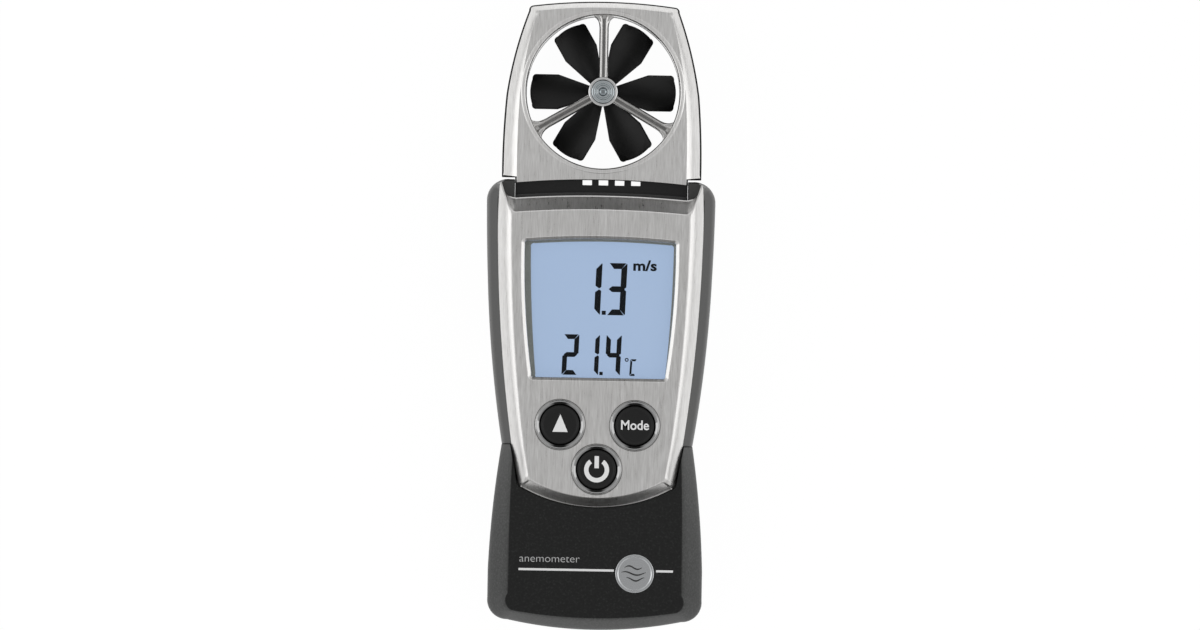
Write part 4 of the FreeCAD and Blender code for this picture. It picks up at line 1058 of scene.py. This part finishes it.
def make_spider(name, tube, arms, boss, ridged, mat, node, boss_mat):
    z0, z1 = tube
    r, ro = 15.85, 17.2
    tube_ob = lathe(name + "_tube", [(r, z0), (ro, z0), (ro, z1), (r, z1)], 0, VY, mat, 144)
    bm = bmesh.new()
    low, high = arms
    for ang in (90, 210, 330):
        rot = Matrix.Rotation(math.radians(ang), 4, "Z")
        sec = spoke_profile() if ridged else [(0.0, 0.0), (0.45, 0.0), (0.70, -0.12), (0.80, -0.42), (0.80, low - high)]
        sec = [(x, max(z, low - high)) for x, z in sec]
        full = [(-x, z) for x, z in reversed(sec[1:])] + sec
        rows = []
        stations = [2.4, 3.2, 6.0, 10.0, 13.2, 14.1, 14.7, 15.15, 15.5, 15.75, 15.84]
        for s in stations:
            grow = 0.0
            if s > 13.2:
                f = (s - 13.2) / 2.64
                grow = 1.75 * (1 - math.sqrt(max(0.0, 1 - f * f)))
            taper = 1.0 - 0.06 * max(0.0, (10 - s) / 10)
            row = []
            for x, z in full:
                w = x * taper + math.copysign(grow, x) * min(1.0, abs(x) / 0.8) ** 1.5 if x else 0.0
                p = rot @ Vector((s * MM, w * MM, 0))
                row.append(bm.verts.new((p.x, p.y + VY * MM, (high + z) * MM)))
            rows.append(row)
        for u, v in zip(rows[:-1], rows[1:]):
            for i in range(len(u) - 1):
                bm.faces.new([u[i], u[i + 1], v[i + 1], v[i]])
            bm.faces.new([u[-1], u[0], v[0], v[-1]])
        bm.faces.new(rows[0])
        bm.faces.new(rows[-1])
    arm_ob = new_object(name + "_arms", bm, mat, 40)
    # the floor of each spoke's groove takes the darker steel, painted shade
    if ridged:
        arm_ob.data.materials.append(GROOVE_PAINTED_SHADE)
        c = Vector((0, VY * MM))
        for poly in arm_ob.data.polygons:
            d = Vector((poly.center.x, poly.center.y)) - c
            off_axis = min(abs(d.x * math.sin(math.radians(g)) - d.y * math.cos(math.radians(g))) for g in (90, 210, 330))
            if poly.normal.z > 0.5 and off_axis < 0.22 * MM and d.length < 15.3 * MM:
                poly.material_index = 1
    bz0, bz1, br = boss
    if ridged:
        prof = soften([(0.0, bz0), (br, bz0), (br, bz1 - 0.1), (br - 0.25, bz1), (2.5, bz1), (2.42, bz1 - 0.5), (0.0, bz1 - 0.5)],
                      [0.3, 0.15, 0.15, 0.1, 0.1], 4)
    else:
        prof = soften([(0.0, bz0), (br - 0.3, bz0), (br, bz0 + 0.4), (br, bz1), (0.0, bz1)], [0.2, 0.2, 0.2], 4)
    boss_ob = lathe(name + "_boss", prof, 0, VY, boss_mat, 72, closed=False)
    put(tube_ob, "body", node)
    put(arm_ob, "body", None)
    put(boss_ob, "body", None)


def make_jewel():
    prof = soften([(0.0, 18.25), (2.38, 18.25), (2.38, 18.78), (2.15, 18.9), (1.75, 18.84), (1.6, 18.62), (1.38, 18.62),
                   (1.25, 18.86), (0.95, 18.88), (0.8, 18.6), (0.0, 18.55)], [0.05, 0.1, 0.1, 0.1, 0.08, 0.08, 0.1, 0.1, 0.1], 4)
    ob = lathe("bearing_jewel_ring", prof, 0, VY, JEWEL, 72, closed=False)
    put(ob, "body", "bearing_cap")
    prof = [(0.0, 18.5), (0.78, 18.55), (0.74, 18.72), (0.55, 18.84), (0.3, 18.9), (0.0, 18.92)]
    ob = lathe("bearing_jewel", prof, 0, VY, JEWEL_DARK, 48, closed=False)
    put(ob, "body", None)


JEWEL = turned("bearing_cap_steel", 0.60, 0.13, 0, VY, (0.90, 0.97, 1.0))
JEWEL_DARK = polished("bearing_jewel", 0.35, 0.06, (0.85, 0.95, 1.0))


def make_impeller():
    bm = bmesh.new()
    half, tip = 3.6, 15.1
    up = []
    seg = [((2.2, 1.12), None, (9.3, half)), ((9.3, half), None, (13.75, half)),
           ((13.75, half), (14.5, half - 0.28), (14.68, half - 1.0)), ((14.68, half - 1.0), (tip, 0.0), (14.68, -half + 1.0)),
           ((14.68, -half + 1.0), (14.5, -half + 0.28), (13.75, -half)), ((13.75, -half), None, (9.3, -half)),
           ((9.3, -half), None, (2.2, -1.12)), ((2.2, -1.12), None, (2.2, 1.12))]
    plan = points(seg, [10, 7, 8, 12, 8, 7, 10, 3])
    tan = math.tan(math.radians(38))
    nz, ny = math.cos(math.radians(38)), -math.sin(math.radians(38))
    t = 0.35
    for i in range(6):
        rot = Matrix.Rotation(math.radians(60 * i), 4, "Z")
        loops = []
        for sgn, ins in ((-1, 0.16), (-0.55, 0.03), (0.0, 0.0), (0.55, 0.03), (1, 0.16)):
            loop = []
            for x, y in shrink(plan, ins):
                camber = 0.22 * math.sin(min(1.0, max(0.0, (x - 2.2) / 12.0)) * math.pi) * (1 - (y / half) ** 2)
                p = rot @ Vector((x * MM, (y + ny * t * sgn) * MM, 0))
                loop.append(bm.verts.new((p.x, p.y + VY * MM, (11.0 + y * tan + nz * t * sgn + camber) * MM)))
            loops.append(loop)
        for u, v in zip(loops[:-1], loops[1:]):
            strip(bm, u, v)
        for loop in (loops[0], loops[-1]):
            edges = [bm.edges.get((loop[k], loop[(k + 1) % len(loop)])) for k in range(len(loop))]
            bmesh.ops.triangle_fill(bm, use_beauty=True, use_dissolve=False, edges=edges)
    ob = new_object("impeller_blades", bm, BLADE, 50, weighted=False)
    put(ob, "impeller", "impeller")
    prof = soften([(0.52, 7.4), (2.5, 7.4), (2.7, 7.9), (2.7, 14.1), (2.5, 14.6), (0.52, 14.6)], [0.2, 0.2, 0.2, 0.2], 4)
    hub = lathe("impeller_hub", prof, 0, VY, BLADE, 72)
    put(hub, "impeller", None)


def make_neck():
    nh = 17.8
    xs = [-2.95 + i * 3.35 for i in range(4)]

    def top(x):
        c = centre((-17.9, 27.2), (0, 28.1), (17.9, 27.2))
        rr = math.hypot(0 - c[0], 28.1 - c[1])
        return c[1] + math.sqrt(rr * rr - (x - c[0]) ** 2) - 0.03
    pts = [(-nh, top(-nh))]
    marks = [-14, -10, -6] + []
    for m in marks:
        pts.append((m, top(m)))
    for x in xs:
        l, r = x - 0.975, x + 0.975
        pts += [(l, top(l)), (l, 26.88), (r, 26.88), (r, top(r))]
    for m in (9, 12, 15):
        pts.append((m, top(m)))
    pts += [(nh, top(nh)), (nh, 23.92), (-nh, 23.92)]
    bm = bmesh.new()
    polygon_prism(bm, pts, 4.0, 17.6)
    main = new_object("neck_block", bm, NECK, weighted=False)
    reshade(main, 34, 0.1, 2)
    put(main, "body", "neck_frame")
    # raised ledge along the foot of the neck, just behind the faceplate rim
    bm = bmesh.new()
    low = [(-nh, 23.92), (nh, 23.92), (nh, 24.75)] + [(x, 25.45 - 0.7 * (x / nh) ** 2) for x in (12, 8, 4, 0, -4, -8, -12)] + [(-nh, 24.75)]
    polygon_prism(bm, low[::-1], 17.5, 18.4)
    ledge = new_object("neck_ledge", bm, NECK_LEDGE, weighted=False)
    reshade(ledge, 34, 0.2, 3)
    put(ledge, "body", None)


NECK_LEDGE = moulded("neck_ledge", 0.030, 0.042, rough=(0.3, 0.38))

make_shells()
make_cap()
make_head()
make_spider("duct_front", (11.5, 16.6), (15.2, 17.75), (15.2, 18.8, 3.04), True, STEEL_SATIN, "duct_front", BOSS)
make_spider("duct_rear", (5.1, 11.4), (5.2, 6.4), (4.2, 6.7, 2.9), False, HEAD_DARK, "duct_rear", HEAD_DARK)
make_jewel()
make_impeller()
make_neck()

# ------------------------------------------------------------------ CAD pieces that keep their shape
KEEP = {
    "lcd_backlight": WHITE, "lcd_frame": WHITE, "zebra_strips": RUBBER, "main_pcb": BOARD, "tact_switches": INNER,
    "controller_chip": INNER, "quartz_crystal": NICKEL, "battery_tray": INNER, "battery_1": JACKET, "battery_2": JACKET,
    "battery_springs": NICKEL, "battery_contacts": NICKEL, "housing_screws": ZINC, "head_screws": ZINC,
    "bearing_front": BRASS, "bearing_rear": BRASS, "temperature_sensor": INNER, "speed_sensor": INNER,
    "sensor_flex": COPPER, "impeller_axle": NICKEL,
}
for node, mat in KEEP.items():
    ob = NODES[node]
    ob.data.materials.clear()
    ob.data.materials.append(mat)
NODES["lcd_frame"].hide_render = False
NODES["lcd_frame"].hide_viewport = False

# ------------------------------------------------------------------ floor, light, camera
bm = bmesh.new()
s = 3.0
bm.faces.new([bm.verts.new(c) for c in ((-s, -s, -0.0002), (s, -s, -0.0002), (s, s, -0.0002), (-s, s, -0.0002))])
me = bpy.data.meshes.new("studio_floor")
bm.to_mesh(me)
bm.free()
floor = bpy.data.objects.new("studio_floor", me)
bpy.context.scene.collection.objects.link(floor)
fm = Mat("floor_white")
fm.set(Roughness=0.9)
fm.base(fm.ramp(fm.noise(fm.mapped((3, 3, 3)), 1.0, 1.0, 0.5), [(0.3, grey(0.035)), (0.7, grey(0.045))]))
fm.bsdf.inputs["Specular IOR Level"].default_value = 0.0
fm.bsdf.inputs["Emission Color"].default_value = (1, 1, 1, 1)
fm.bsdf.inputs["Emission Strength"].default_value = 0.975
geo = fm.nt.nodes.new("ShaderNodeNewGeometry")
clear = fm.nt.nodes.new("ShaderNodeBsdfTransparent")
pick = fm.nt.nodes.new("ShaderNodeMixShader")
fm.link(geo.outputs["Backfacing"], pick.inputs[0])
fm.link(fm.bsdf.outputs[0], pick.inputs[1])
fm.link(clear.outputs[0], pick.inputs[2])
fm.link(pick.outputs[0], fm.out.inputs[0])
me.materials.append(fm.mat)

world = bpy.data.worlds.new("studio")
bpy.context.scene.world = world
world.use_nodes = True
wt = world.node_tree
wt.nodes.clear()
w_out = wt.nodes.new("ShaderNodeOutputWorld")
w_bg = wt.nodes.new("ShaderNodeBackground")
w_co = wt.nodes.new("ShaderNodeTexCoord")
w_sep = wt.nodes.new("ShaderNodeSeparateXYZ")
wt.links.new(w_co.outputs["Generated"], w_sep.inputs[0])


def wmath(op, a, b=None, c=None):
    n = wt.nodes.new("ShaderNodeMath")
    n.operation = op
    for i, v in enumerate((a, b, c)):
        if v is None:
            continue
        if isinstance(v, (int, float)):
            n.inputs[i].default_value = v
        else:
            wt.links.new(v, n.inputs[i])
    return n.outputs[0]


def wramp(value, stops):
    n = wt.nodes.new("ShaderNodeValToRGB")
    el = n.color_ramp.elements
    while len(el) > 1:
        el.remove(el[-1])
    el[0].position, el[0].color = stops[0][0], (stops[0][1],) * 3 + (1,)
    for pos, v in stops[1:]:
        e = el.new(pos)
        e.color = (v, v, v, 1)
    wt.links.new(value, n.inputs[0])
    return n.outputs[0]


# brightness by height above the horizon, with darker ends towards +Y and -Y near the horizon
up = w_sep.outputs[2]
ax = wmath("ABSOLUTE", w_sep.outputs[0])
ay = wmath("ABSOLUTE", w_sep.outputs[1])
side = wmath("DIVIDE", ax, wmath("ADD", wmath("ADD", ax, ay), 0.0001))
high = wramp(up, [(0.0, 0.34), (0.20, 0.42), (0.45, 0.66), (0.72, 0.85), (0.87, 0.55), (1.0, 0.47)])
end_low = wramp(up, [(0.0, 0.02), (0.45, 0.03), (0.60, 0.20), (0.68, 1.10), (0.78, 1.0), (0.87, 0.55), (1.0, 0.47)])
fac = wramp(side, [(0.20, 0.0), (0.36, 1.0)])
mixn = wt.nodes.new("ShaderNodeMix")
mixn.data_type = "FLOAT"
wt.links.new(fac, mixn.inputs[0])
wt.links.new(end_low, mixn.inputs[2])
wt.links.new(high, mixn.inputs[3])
comb = wt.nodes.new("ShaderNodeCombineColor")
for i in range(3):
    wt.links.new(mixn.outputs[0], comb.inputs[i])
wt.links.new(comb.outputs[0], w_bg.inputs[0])
w_bg.inputs[1].default_value = 1.0
wt.links.new(w_bg.outputs[0], w_out.inputs[0])


def area(name, loc, aim, size, power, size_y=None):
    li = bpy.data.lights.new(name, "AREA")
    li.shape = "RECTANGLE"
    li.size = size
    li.size_y = size_y or size
    li.energy = power
    ob = bpy.data.objects.new(name, li)
    bpy.context.scene.collection.objects.link(ob)
    ob.location = loc
    ob.rotation_euler = (Vector(aim) - Vector(loc)).to_track_quat("-Z", "Y").to_euler()
    return ob


area("soft_left", (-0.75, 0.05, 0.55), (0, 0, 0.01), 0.5, 1.15, 0.9)
area("soft_right", (0.75, 0.05, 0.55), (0, 0, 0.01), 0.5, 1.05, 0.9)

cam_data = bpy.data.cameras.new("camera")
cam = bpy.data.objects.new("camera", cam_data)
bpy.context.scene.collection.objects.link(cam)
DIST, PLANE = 2000.0, 12.0
cam_data.sensor_width = 36.0
cam_data.lens = 36.0 * DIST / 248.55
cam_data.clip_start = 0.01
cam_data.clip_end = 20.0
roll = math.radians(-0.98)
# the object's middle lies 1.8 px left of and 0.5 px below the middle of a 1200 x 630 frame
off = Vector((0.75 / 4.828, 0.5 / 4.828))
ca, sa = math.cos(-roll), math.sin(-roll)
cam.location = (off.x * MM, off.y * MM, (DIST + PLANE) * MM)
cam.rotation_euler = (0.0, 0.0, -roll)
bpy.context.scene.camera = cam

sc = bpy.context.scene
sc.view_settings.view_transform = "Standard"
sc.view_settings.look = "None"
sc.view_settings.exposure = 0.0
